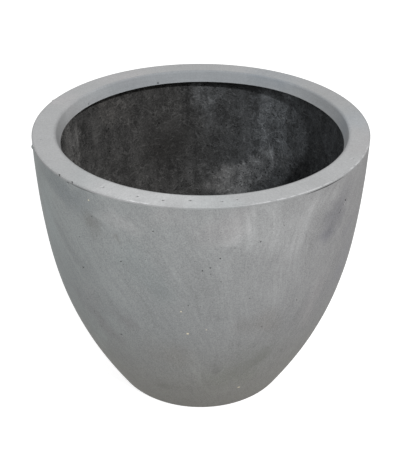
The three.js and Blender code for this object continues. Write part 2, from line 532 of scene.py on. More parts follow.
class Canvas:
    """The node tree of a finish or of the world."""

    SPECK_CORE = 0.6  # share of a speck's radius that is dark all through
    CHANCE_EDGE = 0.001

    def __init__(self, owner: bpy.types.Material | bpy.types.World) -> None:
        """Empties the node tree of a new material or world."""
        self.owner = owner
        self.owner.use_nodes = True
        self.tree = self.owner.node_tree
        self.tree.nodes.clear()
        self._place: Wire | None = None

    @classmethod
    def of_finish(cls, name: str) -> Canvas:
        """Starts an empty material of that name."""
        return cls(bpy.data.materials.new(name))

    def node(
        self,
        kind: str,
        settings: dict[str, Any] | None = None,
        inputs: dict[Any, Any] | None = None,
        output: str | int = 0,
    ) -> Wire:
        """Adds a node.

        Args:
            kind: The node's type.
            settings: Its properties, set first.
            inputs: The values or links of its sockets, by name or number.
            output: The output that is returned.

        Returns:
            The wire from that output.
        """
        made = self.tree.nodes.new(kind)
        for key, value in (settings or {}).items():
            setattr(made, key, value)
        for key, value in (inputs or {}).items():
            self.feed(made.inputs[key], value)
        return Wire(self, made.outputs[output])

    def feed(self, socket: bpy.types.NodeSocket, value: Any) -> None:
        """Links a wire to a socket, or sets the socket's own value.

        Args:
            socket: The socket.
            value: A wire, a number, a colour or a vector.
        """
        if isinstance(value, Wire):
            self.tree.links.new(value.socket, socket)
        elif socket.type == "RGBA":
            socket.default_value = (*value, 1.0)
        else:
            socket.default_value = value

    def place(self) -> Wire:
        """The place on the piece, in metres."""
        if self._place is None:
            self._place = self.node("ShaderNodeTexCoord", output="Object")
        return self._place

    def _clouds(self, at: Wire, noise: Noise, output: str) -> Wire:
        """Cloudy noise from 0 to 1.

        Args:
            at: The place.
            noise: The noise.
            output: "Fac" for a number, or "Color" for three.

        Returns:
            The noise.
        """
        inputs = {"Vector": at, "Scale": noise.scale, "Detail": noise.detail}
        inputs |= {"Roughness": noise.roughness, "Distortion": noise.bend}
        return self.node("ShaderNodeTexNoise", {"noise_dimensions": "3D"}, inputs, output)

    def noise(self, at: Wire, noise: Noise) -> Wire:
        """Cloudy noise about 0, mostly within half a unit."""
        return self._clouds(at, noise, "Fac") - 0.5

    def grain(self, at: Wire, noise: Noise) -> Wire:
        """Cloudy noise about 0, as strong as it is in the tone."""
        return self.noise(at, noise) * noise.strength

    def warped(self, at: Wire, push: Push) -> Wire:
        """A place that is pushed about by noise."""
        return at + (self._clouds(at, Noise(push.scale, 1.0), "Color") - 0.5) * push.amount

    def twisted(self, at: Wire, turn_per_metre: Any, stretch: float, pivot: float = 0.0) -> Wire:
        """A place turned about the axis as it climbs and drawn out along the climb, for slanting streaks.

        Args:
            at: The place.
            turn_per_metre: Angle in radians that it turns by in each metre of climb.
            stretch: How much longer the streaks are than wide.
            pivot: Height at which nothing is turned.

        Returns:
            The turned place.
        """
        inputs = {"Vector": at, "Angle": (at.part(2) - pivot) * turn_per_metre}
        turned = self.node("ShaderNodeVectorRotate", {"rotation_type": "Z_AXIS"}, inputs)
        return turned * (1.0, 1.0, 1.0 / stretch)

    def specks(self, at: Wire, scatter: Scatter) -> Wire:
        """Round specks scattered through the material.

        Args:
            at: The place.
            scatter: Their size and number.

        Returns:
            1 in a speck and 0 elsewhere.
        """
        inputs = {"Vector": at, "Scale": scatter.cells}
        distance = self.node("ShaderNodeTexVoronoi", inputs=inputs, output="Distance")
        held = distance.beside("Color").part(0).step(scatter.share + self.CHANCE_EDGE, scatter.share)
        return distance.step(scatter.radius, scatter.radius * self.SPECK_CORE) * held

    def patch(
        self, at: Wire, centre: Vector, turn: float, size: Triple, softness: float, lean: float = 0.0
    ) -> Wire:
        """A single soft-edged patch.

        Args:
            at: The place.
            centre: Centre of the patch.
            turn: Its azimuth in degrees, which its depth and width follow.
            size: Half its depth, width and height.
            softness: Share of its radius over which it fades.
            lean: Angle in degrees that it leans by.

        Returns:
            1 within the patch and 0 outside.
        """
        rotation = Euler((math.radians(lean), 0.0, math.radians(turn)))
        inputs = {"Vector": at, "Location": centre, "Rotation": rotation, "Scale": size}
        local = self.node("ShaderNodeMapping", {"vector_type": "TEXTURE"}, inputs)
        return local.length().step(1.0, 1.0 - softness)

    def blend(self, share: Any, first: Any, second: Any) -> Wire:
        """A colour between two colours."""
        return self.node("ShaderNodeMix", {"data_type": "RGBA"}, {0: share, 6: first, 7: second}, 2)

    def bump(self, height: Wire, depth: float, below: Wire | None = None) -> Wire:
        """A normal bent by a height of 0 to 1.

        Args:
            height: The height.
            depth: Real depth of one unit of it.
            below: The normal that it bends, where it isn't the surface's own.

        Returns:
            The bent normal.
        """
        inputs = {"Height": height, "Distance": depth, "Strength": 1.0}
        if below is not None:
            inputs["Normal"] = below
        return self.node("ShaderNodeBump", inputs=inputs)

    def finish(self, colour: Wire, roughness: Any, normal: Wire, sheen: float) -> bpy.types.Material:
        """Ends a material with its surface shader.

        Args:
            colour: Its colour.
            roughness: Its roughness.
            normal: Its normal.
            sheen: Strength of its reflections, where 0.5 is that of most solids.

        Returns:
            The material.
        """
        inputs = {"Base Color": colour, "Roughness": roughness, "Normal": normal, "Specular IOR Level": sheen}
        self.end(self.node("ShaderNodeBsdfPrincipled", inputs=inputs))
        return self.owner

    def end(self, surface: Wire, kind: str = "ShaderNodeOutputMaterial") -> None:
        """Sends a shader to the tree's output node."""
        self.feed(self.tree.nodes.new(kind).inputs["Surface"], surface)


# ----------------------------------------------------------------------------------------------------------
# Finishes
# ----------------------------------------------------------------------------------------------------------


class Cast(Enum):
    """Faint hues that the cement took as it dried."""

    GREY = WHITE
    TEAL = (0.984, 1.007, 1.008)
    ROSE = (1.016, 0.991, 0.993)
    SLATE = (0.970, 1.0, 1.030)
    VIOLET = (0.988, 0.988, 1.024)
    OLIVE = (1.003, 1.018, 0.979)
    OCHRE = (1.022, 1.0, 0.978)


@dataclass(frozen=True)
class Stain:
    """A broad soft patch that differs from the surface round it.

    Attributes:
        azimuth: Its azimuth, in degrees.
        level: Its height, or its radius on the collar's top.
        width: Half its width.
        tall: Half its height.
        tone: What it multiplies the surface's brightness by.
        cast: Its hue.
        lean: Angle in degrees that it leans by, counterclockwise seen from outside the pot.
        softness: Share of its size over which it fades.
    """

    azimuth: float
    level: float
    width: float
    tall: float
    tone: float
    cast: Cast = Cast.GREY
    lean: float = 0.0
    softness: float = 0.9

    @property
    def colour(self) -> Colour:
        """What it multiplies the surface's colour by."""
        red, green, blue = self.cast.value
        return self.tone * red, self.tone * green, self.tone * blue


@dataclass(frozen=True)
class Stainer:
    """Lays stains over one surface of the pot, with ragged edges unless it is told not to."""

    sizes: PotSizes
    surface: Surface
    least_depth: float = 0.03
    fray: tuple[Push, ...] = (Push(14.0, 0.07), Push(60.0, 0.022))

    def lay(self, canvas: Canvas, stains: Sequence[Stain], colour: Wire, veil: Any = 1.0) -> Wire:
        """Lays stains over a colour.

        Args:
            canvas: The finish's node tree.
            stains: The stains.
            colour: The colour below them.
            veil: How strongly the surface takes them at each place.

        Returns:
            The stained colour.
        """
        at = canvas.place()
        for push in self.fray:
            at = canvas.warped(at, push)
        for stain in stains:
            centre, _ = place_on(self.sizes, self.surface, stain.azimuth, stain.level)
            size = (max(self.least_depth, stain.width), stain.width, stain.tall)
            share = canvas.patch(at, centre, stain.azimuth, size, stain.softness, stain.lean) * veil
            colour = colour * canvas.blend(share, WHITE, stain.colour)
        return colour


@dataclass(frozen=True)
class CementFinish:
    """What the face coat and the collar have in common: clouds, sand, air holes, and painted shade with dirt
    in the joint.
    """

    tone: float = 0.333
    drift: Push = Push(8.0, 0.06)
    broad: Noise = Noise(8.0, 3.0, 0.5, 0.12)
    mottle: Noise = Noise(32.0, 3.0, 0.6, 0.14)
    grit: Noise = Noise(210.0, 3.0, 0.7, 0.15)
    sand: Noise = Noise(520.0, 2.0, 0.8, 1.0)
    large_holes: Scatter = Scatter(46.0, 0.044, 0.38)
    small_holes: Scatter = Scatter(120.0, 0.080, 0.55)
    clusters: Noise = Noise(11.0)
    cluster_edge: Slope = Slope(-0.02, 0.10)
    hole_depth: float = 0.5 * MILLIMETRE
    hole_shade: float = 0.72
    throat_shade: float = 0.82
    throat_core: float = 0.55
    throat_fray: Push = Push(600.0, 0.0012)
    # painted shade: dark lines in the open joint under the collar's edge stand in for the gap's shade, with
    # some dirt
    joint_shade_and_dirt: tuple[Stain, ...] = (
        Stain(312.0, 0.4268, 0.050, 0.0012, 0.20, softness=0.6),
        Stain(230.5, 0.4268, 0.036, 0.0012, 0.45, softness=0.6),
    )

    def clouds(self, canvas: Canvas, at: Wire) -> Wire:
        """Slow change of brightness over the hand-finished surface."""
        drift = canvas.warped(at, self.drift)
        return canvas.grain(drift, self.broad) + canvas.grain(drift, self.mottle)

    def air_holes(self, canvas: Canvas, at: Wire) -> Wire:
        """Holes that air bubbles left, most of them a millimetre or less."""
        clusters = canvas.noise(at, self.clusters).step(*self.cluster_edge)
        return canvas.specks(at, self.large_holes).larger(canvas.specks(at, self.small_holes) * clusters)

    def single_marks(self, canvas: Canvas, at: Wire, spots: Sequence[Spot]) -> Wire:
        """Draws single marks with ragged edges.

        Args:
            canvas: The finish's node tree.
            at: The place.
            spots: The marks' places and sizes.

        Returns:
            1 within a mark and 0 elsewhere.
        """
        ragged = canvas.warped(at, self.throat_fray)
        marks = []
        for spot in spots:
            ends = {0: ragged, 1: spot.centre}
            away = canvas.node("ShaderNodeVectorMath", {"operation": "DISTANCE"}, ends, "Value")
            marks.append(away.step(spot.radius, spot.radius * self.throat_core))
        return reduce(Wire.larger, marks)

    def paint_joint_shade_and_dirt(self, canvas: Canvas, sizes: PotSizes, colour: Wire) -> Wire:
        """Darkens the joint under the collar's edge with painted shade of the thin gap, and with the dirt in
        it.
        """
        return Stainer(sizes, Surface.WALL, fray=()).lay(canvas, self.joint_shade_and_dirt, colour)


@dataclass(frozen=True)
class FaceCoatFinish(CementFinish):
    """Stone-grey cement face coat, rubbed with a cloth while green.

    The cloth's strokes turn about the axis as they climb, and fan out from the right to the left.
    """

    # painted light hue: the cool hue of the shaded left side and the hue of the lamp-lit right side
    left_painted_light_hue: Colour = (0.937, 1.003, 1.005)
    right_painted_light_hue: Colour = (0.966, 0.950, 0.958)
    foot_cast: Colour = (1.026, 1.0, 0.925)
    foot_tint: Slope = Slope(0.0, 0.24, 0.90, 0.0)
    foot_tone: Slope = Slope(0.0, 0.36, 0.865, 1.0)
    bow: Push = Push(6.0, 0.06)
    stroke_turn: float = 1.0
    stroke_fan: float = 12.0
    stroke_pivot: float = 0.25
    wipe_stretch: float = 7.0
    stroke_stretch: float = 20.0
    wipes: Noise = Noise(34.0, 3.0, 0.6, 0.30)
    strokes: Noise = Noise(120.0, 2.0, 0.7, 0.23)
    scratches: Noise = Noise(380.0, 2.0, 0.7, 0.26)
    veil: Slope = Slope(-0.22, 0.16, 0.45, 1.15)
    veil_strokes: float = 0.6
    skin: Noise = Noise(260.0, 3.0, 0.6)
    skin_sand: float = 0.5
    skin_depth: float = 0.25 * MILLIMETRE
    roughness: float = 0.74
    wipe_roughness: float = 0.25
    hole_roughness: float = 0.15
    sheen: float = 0.35
    lime: Colour = (0.80, 0.72, 0.54)
    stains: tuple[Stain, ...] = (
        Stain(223.0, 0.413, 0.088, 0.034, 0.73, Cast.SLATE),
        Stain(234.8, 0.380, 0.020, 0.034, 0.72, Cast.OCHRE, 12.0),
        Stain(243.5, 0.365, 0.022, 0.009, 0.80, Cast.OCHRE, -35.0),
        Stain(246.0, 0.392, 0.060, 0.020, 1.13, Cast.ROSE, -14.0),
        Stain(257.0, 0.410, 0.058, 0.026, 1.08, Cast.ROSE),
        Stain(275.0, 0.395, 0.060, 0.035, 1.05, Cast.ROSE),
        Stain(209.5, 0.340, 0.040, 0.095, 1.12, Cast.TEAL, 15.0),
        Stain(223.5, 0.309, 0.058, 0.018, 0.84, Cast.GREY, -38.0),
        Stain(227.5, 0.210, 0.085, 0.024, 0.91, Cast.ROSE, -47.0),
        Stain(250.0, 0.322, 0.065, 0.050, 0.94, Cast.TEAL, -35.0),
        Stain(258.0, 0.288, 0.050, 0.042, 0.90, Cast.TEAL),
        Stain(229.8, 0.255, 0.032, 0.040, 0.95, Cast.ROSE, 35.0),
        Stain(243.5, 0.221, 0.050, 0.016, 0.85, Cast.ROSE, -50.0),
        Stain(271.0, 0.322, 0.022, 0.060, 0.94, Cast.GREY, -25.0),
        Stain(280.5, 0.362, 0.026, 0.012, 0.87, Cast.GREY, 35.0),
        Stain(288.0, 0.388, 0.055, 0.065, 1.40, Cast.GREY, -30.0),
        Stain(305.0, 0.383, 0.080, 0.036, 1.22, Cast.GREY, 50.0),
        Stain(318.0, 0.368, 0.068, 0.034, 0.74, Cast.VIOLET, 62.0),
        Stain(314.0, 0.340, 0.030, 0.016, 0.88, Cast.VIOLET, 50.0),
        Stain(328.5, 0.337, 0.030, 0.018, 0.86, Cast.VIOLET),
        Stain(298.5, 0.285, 0.048, 0.085, 1.12, Cast.GREY, -16.0),
        Stain(316.0, 0.215, 0.026, 0.078, 1.13, Cast.ROSE, -8.0),
        Stain(293.5, 0.220, 0.044, 0.034, 0.89, Cast.OCHRE, -15.0),
        Stain(276.0, 0.241, 0.028, 0.008, 0.85, Cast.GREY, 5.0),
        Stain(276.5, 0.140, 0.018, 0.007, 0.80),
        Stain(291.5, 0.142, 0.062, 0.045, 0.82, Cast.OLIVE, 30.0),
        Stain(268.5, 0.130, 0.012, 0.060, 1.12, Cast.GREY, 12.0),
        Stain(222.0, 0.145, 0.034, 0.075, 1.14, Cast.TEAL, 20.0),
        Stain(258.5, 0.165, 0.050, 0.045, 0.92, Cast.OCHRE, -20.0),
        Stain(253.5, 0.072, 0.040, 0.020, 0.86, Cast.OLIVE),
        Stain(282.0, 0.105, 0.060, 0.060, 0.93, Cast.OLIVE),
        Stain(331.0, 0.265, 0.040, 0.075, 0.91, Cast.VIOLET),
    )
    lime_grains: tuple[Blemish, ...] = (
        Blemish(Surface.WALL, 233.6, 0.4130, 0.0014),
        Blemish(Surface.WALL, 263.5, 0.2583, 0.0015),
        Blemish(Surface.WALL, 265.5, 0.2155, 0.0022),
        Blemish(Surface.WALL, 272.0, 0.2238, 0.0011),
        Blemish(Surface.WALL, 289.5, 0.0655, 0.0028),
    )

    def paint(self, sizes: PotSizes, throats: Sequence[Spot]) -> bpy.types.Material:
        """Makes the material.

        Args:
            sizes: The pot's sizes.
            throats: The single pits.

        Returns:
            The material.
        """
        canvas = Canvas.of_finish("face_coat_cement")
        at = canvas.place()
        height = at.part(2)
        bowed = canvas.warped(at, self.bow)
        turn = self.stroke_turn - at.part(0) * self.stroke_fan
        slant = canvas.twisted(bowed, turn, self.stroke_stretch, self.stroke_pivot)
        wipes = canvas.noise(canvas.twisted(bowed, turn, self.wipe_stretch, self.stroke_pivot), self.wipes)
        strokes = canvas.noise(slant, self.strokes)
        sand = canvas.noise(at, self.sand)
        tone = 1.0 + self.clouds(canvas, at) + wipes * self.wipes.strength + strokes * self.strokes.strength
        tone = tone + canvas.grain(slant, self.scratches) + canvas.grain(at, self.grit)
        tone = (tone + sand * self.sand.strength) * height.step(*self.foot_tone)
        # painted light hue: the colour turns from the shaded left side's cool hue to the lit right side's hue
        side = at.part(0) * (0.5 / sizes.wall.rim_radius) + 0.5
        tint = canvas.blend(side, self.left_painted_light_hue, self.right_painted_light_hue)
        tint = canvas.blend(height.step(*self.foot_tint), tint, self.foot_cast)
        veil = (wipes + strokes * self.veil_strokes).step(*self.veil)
        colour = Stainer(sizes, Surface.WALL).lay(canvas, self.stains, tint * (tone * self.tone), veil)
        # paints the shade of the joint under the collar's edge, with its dirt
        colour = self.paint_joint_shade_and_dirt(canvas, sizes, colour)
        holes = self.air_holes(canvas, at)
        throat = self.single_marks(canvas, at, throats)
        colour = colour * ((1.0 - holes * self.hole_shade) * (1.0 - throat * self.throat_shade))
        grains = self.single_marks(canvas, at, [grain.spot(sizes) for grain in self.lime_grains])
        colour = canvas.blend(grains, colour, self.lime)
        normal = canvas.bump(sand * self.skin_sand + canvas.noise(at, self.skin), self.skin_depth)
        normal = canvas.bump(1.0 - holes.larger(throat), self.hole_depth, normal)
        rough = self.roughness + wipes * self.wipe_roughness + holes * self.hole_roughness
        return canvas.finish(colour, rough, normal, self.sheen)


@dataclass(frozen=True)
class CollarFinish(CementFinish):
    """Lighter cement of the cast collar, sanded flat on top and left as cast on the lip.

    A band is given by how far inside the collar's outline it begins, and how far inside it is whole.
    """

    tone: float = 0.452
    cast: Colour = (0.985, 0.998, 1.008)
    lip_tone: float = 0.72
    back_lip: Slope = Slope(0.05, 0.20)
    back_lip_cast: Colour = (0.95, 1.005, 1.055)
    edge_tone: float = 0.76
    top_band: tuple[float, float] = (0.0012, 0.0002)
    edge_band: tuple[float, float] = (0.0012, 0.0004)
    arris_band: tuple[float, float] = (0.002, 0.001)
    lip_band: tuple[float, float] = (0.0055, -0.0005)
    cloud_share: float = 0.5
    grit: Noise = Noise(210.0, 3.0, 0.7, 0.16)
    sand: Noise = Noise(520.0, 2.0, 0.8, 0.60)
    hatch: Noise = Noise(155.0, 1.0, 0.4, 0.16)
    sanding: Noise = Noise(45.0, 3.0, 0.6, 0.08)
    sanding_squeeze: Triple = (1.0, 1.0, 12.0)
    casting_bands: Noise = Noise(60.0, 3.0, 0.6, 0.16)
    casting_squeeze: Triple = (0.25, 0.25, 6.0)
    veil: Slope = Slope(-0.3, 0.2, 0.7, 1.1)
    arris_inset: float = 0.0010
    arris_edge: Slope = Slope(0.0014, 0.0005)
    arris_shade: float = 0.14
    wear: Noise = Noise(70.0, 3.0, 0.7, 0.34)
    wear_edge: Slope = Slope(-0.10, 0.05)
    wear_softness: float = 0.4
    hole_shade: float = 0.5
    throat_shade: float = 0.88
    skin: Noise = Noise(300.0, 2.0, 0.5, 0.6)
    skin_sand: float = 0.4
    skin_hatch: float = 0.5
    skin_depth: float = 0.15 * MILLIMETRE
    roughness: float = 0.62
    sanded_roughness: float = 0.2
    sheen: float = 0.4
    stains: tuple[Stain, ...] = (
        Stain(252.0, 0.235, 0.130, 0.03, 1.23, Cast.GREY),
        Stain(275.0, 0.235, 0.070, 0.03, 1.02, Cast.TEAL),
        Stain(90.0, 0.235, 0.080, 0.03, 0.96, Cast.GREY),
        Stain(58.0, 0.235, 0.080, 0.03, 0.89, Cast.SLATE),
        Stain(5.0, 0.235, 0.070, 0.03, 0.97, Cast.SLATE),
        Stain(225.0, 0.235, 0.050, 0.03, 0.96, Cast.TEAL),
        Stain(160.0, 0.235, 0.040, 0.03, 1.07, Cast.ROSE),
        Stain(122.0, 0.235, 0.060, 0.03, 1.04, Cast.ROSE),
        Stain(25.0, 0.235, 0.130, 0.03, 0.89, Cast.GREY),
        Stain(308.0, 0.235, 0.030, 0.03, 0.94, Cast.GREY),
        Stain(345.0, 0.235, 0.080, 0.03, 0.94, Cast.ROSE),
    )
    lip_stains: tuple[Stain, ...] = (
        Stain(5.0, 0.420, 0.160, 0.04, 1.12, Cast.SLATE),
        Stain(155.0, 0.420, 0.130, 0.04, 1.25, Cast.GREY),
    )
    worn_stretches: tuple[Stain, ...] = (
        Stain(250.8, 0.250, 0.020, 0.02, 1.0),
        Stain(302.0, 0.250, 0.090, 0.02, 1.0),
        Stain(335.0, 0.250, 0.060, 0.02, 1.0),
    )

    def worn(self, canvas: Canvas, sizes: PotSizes) -> Wire:
        """Where sanding has rubbed the outer arris bright.

        Args:
            canvas: The finish's node tree.
            sizes: The pot's sizes.

        Returns:
            1 where it is rubbed and 0 elsewhere.
        """
        at = canvas.place()
        patches = []
        for stretch in self.worn_stretches:
            centre, _ = place_on(sizes, Surface.RIM_TOP, stretch.azimuth, stretch.level)
            size = (stretch.width, stretch.width, stretch.tall)
            patches.append(canvas.patch(at, centre, stretch.azimuth, size, self.wear_softness))
        return canvas.noise(at, self.wear).step(*self.wear_edge) * reduce(Wire.larger, patches)

    def paint(self, sizes: PotSizes, throats: Sequence[Spot]) -> bpy.types.Material:
        """Makes the material.

        Args:
            sizes: The pot's sizes.
            throats: The single pits.

        Returns:
            The material.
        """
        canvas = Canvas.of_finish("collar_cement")
        at = canvas.place()
        height = at.part(2)
        rim = sizes.wall.rim_radius
        flat = at * (1.0, 1.0, 0.0)
        radius = flat.length()
        top = height.step(*(sizes.height - inset for inset in self.top_band))
        outside = radius.step(*(rim - inset for inset in self.edge_band))
        lip_ends = (sizes.mouth_radius + inset for inset in self.lip_band)
        lip = (flat - sizes.mouth_offset).length().step(*lip_ends)
        heading = canvas.node("ShaderNodeVectorMath", {"operation": "NORMALIZE"}, {0: flat})
        hatch = canvas.noise(heading, self.hatch)
        sanded = canvas.noise(at * self.sanding_squeeze, self.sanding)
        bands = canvas.noise(at * self.casting_squeeze, self.casting_bands)
        sand = canvas.noise(at, self.sand)
        tone = 1.0 + self.clouds(canvas, at) * self.cloud_share + canvas.grain(at, self.grit)
        tone = tone + sand * self.sand.strength
        tone = tone + top * (hatch * self.hatch.strength + sanded * self.sanding.strength)
        tone = tone + lip * bands * self.casting_bands.strength
        tone = tone * (1.0 + outside * (1.0 - top) * (self.edge_tone - 1.0))
        tone = tone * (1.0 + lip * (self.lip_tone - 1.0))
        arris = (radius - (rim - self.arris_inset)).magnitude().step(*self.arris_edge)
        arris = arris * height.step(*(sizes.height - inset for inset in self.arris_band))
        tone = tone * (1.0 + arris * (self.worn(canvas, sizes) * self.wear.strength - self.arris_shade))
        back = at.part(1).step(*self.back_lip) * lip
        tint = canvas.blend(back, self.cast, self.back_lip_cast)
        veil = sanded.step(*self.veil)
        colour = Stainer(sizes, Surface.RIM_TOP).lay(canvas, self.stains, tint * (tone * self.tone), veil)
        colour = Stainer(sizes, Surface.LIP).lay(canvas, self.lip_stains, colour, lip)
        # paints the shade of the joint under the collar's edge, with its dirt
        colour = self.paint_joint_shade_and_dirt(canvas, sizes, colour)
        holes = self.air_holes(canvas, at)
        throat = self.single_marks(canvas, at, throats)
        colour = colour * ((1.0 - holes * self.hole_shade) * (1.0 - throat * self.throat_shade))
        relief = sand * self.skin_sand + canvas.grain(at, self.skin) + hatch * top * self.skin_hatch
        normal = canvas.bump(relief, self.skin_depth)
        normal = canvas.bump(1.0 - holes.larger(throat), self.hole_depth, normal)
        return canvas.finish(colour, self.roughness + sanded * self.sanded_roughness, normal, self.sheen)


@dataclass(frozen=True)
class FibreLaminateFinish:
    """Dark laminate: charcoal resin mortar with chopped glass strands rolled into it."""

    tone: Slope = Slope(-0.1, 1.1, 0.020, 0.102)
    middle: float = 0.45
    # painted light hue: warm on the lamp-lit left of the inside, cool blue on the shaded right wall
    left_painted_light_hue: Colour = (1.025, 1.0, 0.972)
    right_painted_light_hue: Colour = (0.93, 1.0, 1.07)
    side: Slope = Slope(-0.09, 0.15)
    drift: Push = Push(9.0, 0.06)
    clouds: Noise = Noise(9.0, 4.0, 0.6, 0.5)
    mottle: Noise = Noise(46.0, 4.0, 0.65, 1.0)
    curls: Noise = Noise(120.0, 2.0, 0.6, 1.1, 2.2)
    runs: Noise = Noise(58.0, 3.0, 0.6, 0.9)
    run_stretch: float = 8.0
    grit: Noise = Noise(460.0, 2.0, 0.8, 1.3)
    veil: Slope = Slope(-0.3, 0.25, 0.5, 1.15)
    strand_scales: tuple[float, ...] = (48.0, 66.0, 88.0, 112.0)
    strand_shift: Triple = (0.37, 0.259, 0.148)
    strand_curl: float = 1.7
    strand_push: float = 0.010
    strand_edge: Slope = Slope(0.030, 0.008)
    strand_ends: Noise = Noise(95.0, 0.0)
    strand_end_edge: Slope = Slope(-0.02, 0.06)
    strand_light: float = 0.036
    pores: Noise = Noise(13.0)
    pore_edge: Slope = Slope(-0.05, 0.12)
    fine_pits: Scatter = Scatter(150.0, 0.22, 0.8)
    large_pits: Scatter = Scatter(95.0, 0.16, 0.25)
    pit_shade: float = 0.72
    curl_relief: float = 0.3
    grit_relief: float = 0.35
    strand_relief: float = 0.5
    relief_depth: float = 0.8 * MILLIMETRE
    roughness: float = 0.86
    strand_gloss: float = 0.25
    sheen: float = 0.35
    stains: tuple[Stain, ...] = (
        Stain(64.0, 0.310, 0.044, 0.120, 1.22),
        Stain(55.0, 0.342, 0.050, 0.080, 1.78, softness=0.45),
        Stain(68.0, 0.243, 0.108, 0.036, 2.2, Cast.OCHRE, -27.0, 0.45),
        Stain(105.0, 0.295, 0.068, 0.080, 0.45, Cast.OCHRE),
        Stain(86.0, 0.285, 0.042, 0.056, 0.76),
        Stain(112.0, 0.345, 0.018, 0.060, 0.75),
        Stain(157.0, 0.350, 0.034, 0.080, 1.75, softness=0.5),
        Stain(130.0, 0.370, 0.055, 0.050, 1.50, Cast.OCHRE),
        Stain(89.0, 0.372, 0.050, 0.055, 1.60, Cast.SLATE),
        Stain(28.0, 0.340, 0.040, 0.050, 1.30),
        # painted shade: the dark band under the lip at the back, where the lip's shade falls
        Stain(72.0, 0.408, 0.150, 0.016, 0.60),
        Stain(138.0, 0.250, 0.024, 0.045, 1.40),
    )

    def strands(self, canvas: Canvas, at: Wire, scale: float, layer: int) -> Wire:
        """Curled strands: short stretches of the contour lines of a noise.

        Args:
            canvas: The finish's node tree.
            at: The place.
            scale: Curls per metre.
            layer: Number of the layer, from 1, which gives it its own noise.

        Returns:
            1 on a strand and 0 elsewhere.
        """
        shift = tuple(layer * part for part in self.strand_shift)
        moved = canvas.warped(at + shift, Push(scale * self.strand_curl, self.strand_push))
        line = canvas.noise(moved, Noise(scale, 0.0)).magnitude().step(*self.strand_edge)
        ends = canvas.noise(at + (shift[0] * 2.0, 0.0, shift[0]), self.strand_ends)
        return line * ends.step(*self.strand_end_edge)

    def paint(self, sizes: PotSizes) -> bpy.types.Material:
        """Makes the material.

        Args:
            sizes: The pot's sizes.

        Returns:
            The material.
        """
        canvas = Canvas.of_finish("fibre_laminate")
        at = canvas.place()
        drift = canvas.warped(at, self.drift)
        mottle = canvas.noise(drift, self.mottle)
        curls = canvas.noise(at, self.curls)
        runs = canvas.noise(canvas.twisted(at, 0.0, self.run_stretch), self.runs)
        grit = canvas.noise(at, self.grit)
        share = self.middle + canvas.grain(drift, self.clouds) + mottle * self.mottle.strength
        share = share + curls * self.curls.strength + runs * self.runs.strength + grit * self.grit.strength
        layers = enumerate(self.strand_scales, start=1)
        fibres = reduce(Wire.larger, [self.strands(canvas, at, scale, layer) for layer, scale in layers])
        # painted light hue: warm on the lit left of the inside, blue on the shaded right wall
        tint = canvas.blend(at.part(0).step(*self.side), self.left_painted_light_hue, self.right_painted_light_hue)
        tint = tint * (share.step(*self.tone) + fibres * self.strand_light)
        veil = (runs + mottle).step(*self.veil)
        colour = Stainer(sizes, Surface.LINING).lay(canvas, self.stains, tint, veil)
        porous = canvas.noise(at, self.pores).step(*self.pore_edge)
        pits = (canvas.specks(at, self.fine_pits) * porous).larger(canvas.specks(at, self.large_pits))
        relief = mottle + curls * self.curl_relief + grit * self.grit_relief + fibres * self.strand_relief
        normal = canvas.bump(relief - pits, self.relief_depth)
        rough = self.roughness - fibres * self.strand_gloss
        return canvas.finish(colour * (1.0 - pits * self.pit_shade), rough, normal, self.sheen)


@dataclass(frozen=True)
class MortarFinish:
    """Bonding mortar, struck off with a finger."""

    tone: float = 0.28
    cast: Colour = (0.98, 1.0, 1.0)
    cast_noise: Noise = Noise(12.0)
    cast_edge: Slope = Slope(-0.2, 0.2)
    clouds: Noise = Noise(30.0, 4.0, 0.6, 0.6)
    grit: Noise = Noise(500.0, 2.0, 0.7, 0.3)
    relief_depth: float = 0.4 * MILLIMETRE
    roughness: float = 0.9
    sheen: float = 0.3

    def paint(self) -> bpy.types.Material:
        """Makes the material."""
        canvas = Canvas.of_finish("bonding_mortar")
        at = canvas.place()
        clouds, grit = canvas.noise(at, self.clouds), canvas.noise(at, self.grit)
        tone = (1.0 + clouds * self.clouds.strength + grit * self.grit.strength) * self.tone
        tint = canvas.blend(canvas.noise(at, self.cast_noise).step(*self.cast_edge), self.cast, WHITE)
        normal = canvas.bump(grit + clouds, self.relief_depth)
        return canvas.finish(tint * tone, self.roughness, normal, self.sheen)


@dataclass(frozen=True)
class RubberFinish:
    """Black moulded rubber with a bloom of cement dust."""

    rubber: Colour = (0.022, 0.022, 0.02288)
    dust: Colour = (0.16, 0.155, 0.15)
    dust_share: float = 0.35
    bloom: Noise = Noise(180.0, 4.0, 0.65)
    bloom_edge: Slope = Slope(0.0, 0.25)
    bloom_relief: float = 0.4
    grain: Noise = Noise(1500.0)
    relief_depth: float = 0.08 * MILLIMETRE
    roughness: float = 0.48
    dust_roughness: float = 0.3
    sheen: float = 0.5

    def paint(self) -> bpy.types.Material:
        """Makes the material."""
        canvas = Canvas.of_finish("bung_rubber")
        at = canvas.place()
        bloom = canvas.noise(at, self.bloom).step(*self.bloom_edge)
        colour = canvas.blend(bloom * self.dust_share, self.rubber, self.dust)
        normal = canvas.bump(canvas.noise(at, self.grain) + bloom * self.bloom_relief, self.relief_depth)
        return canvas.finish(colour, self.roughness + bloom * self.dust_roughness, normal, self.sheen)


@dataclass(frozen=True)
class GlassStrandFinish:
    """Loose ends of alkali-resistant glass roving, dusty grey."""

    worn: Colour = (0.075, 0.075, 0.072)
    clean: Colour = (0.15, 0.15, 0.1425)
    wear: Noise = Noise(90.0)
    wear_edge: Slope = Slope(-0.2, 0.2)
    grain: Noise = Noise(2500.0)
    relief_depth: float = 0.05 * MILLIMETRE
    roughness: float = 0.6
    sheen: float = 0.4

    def paint(self) -> bpy.types.Material:
        """Makes the material."""
        canvas = Canvas.of_finish("glass_strand")
        at = canvas.place()
        colour = canvas.blend(canvas.noise(at, self.wear).step(*self.wear_edge), self.worn, self.clean)
        normal = canvas.bump(canvas.noise(at, self.grain), self.relief_depth)
        return canvas.finish(colour, self.roughness, normal, self.sheen)


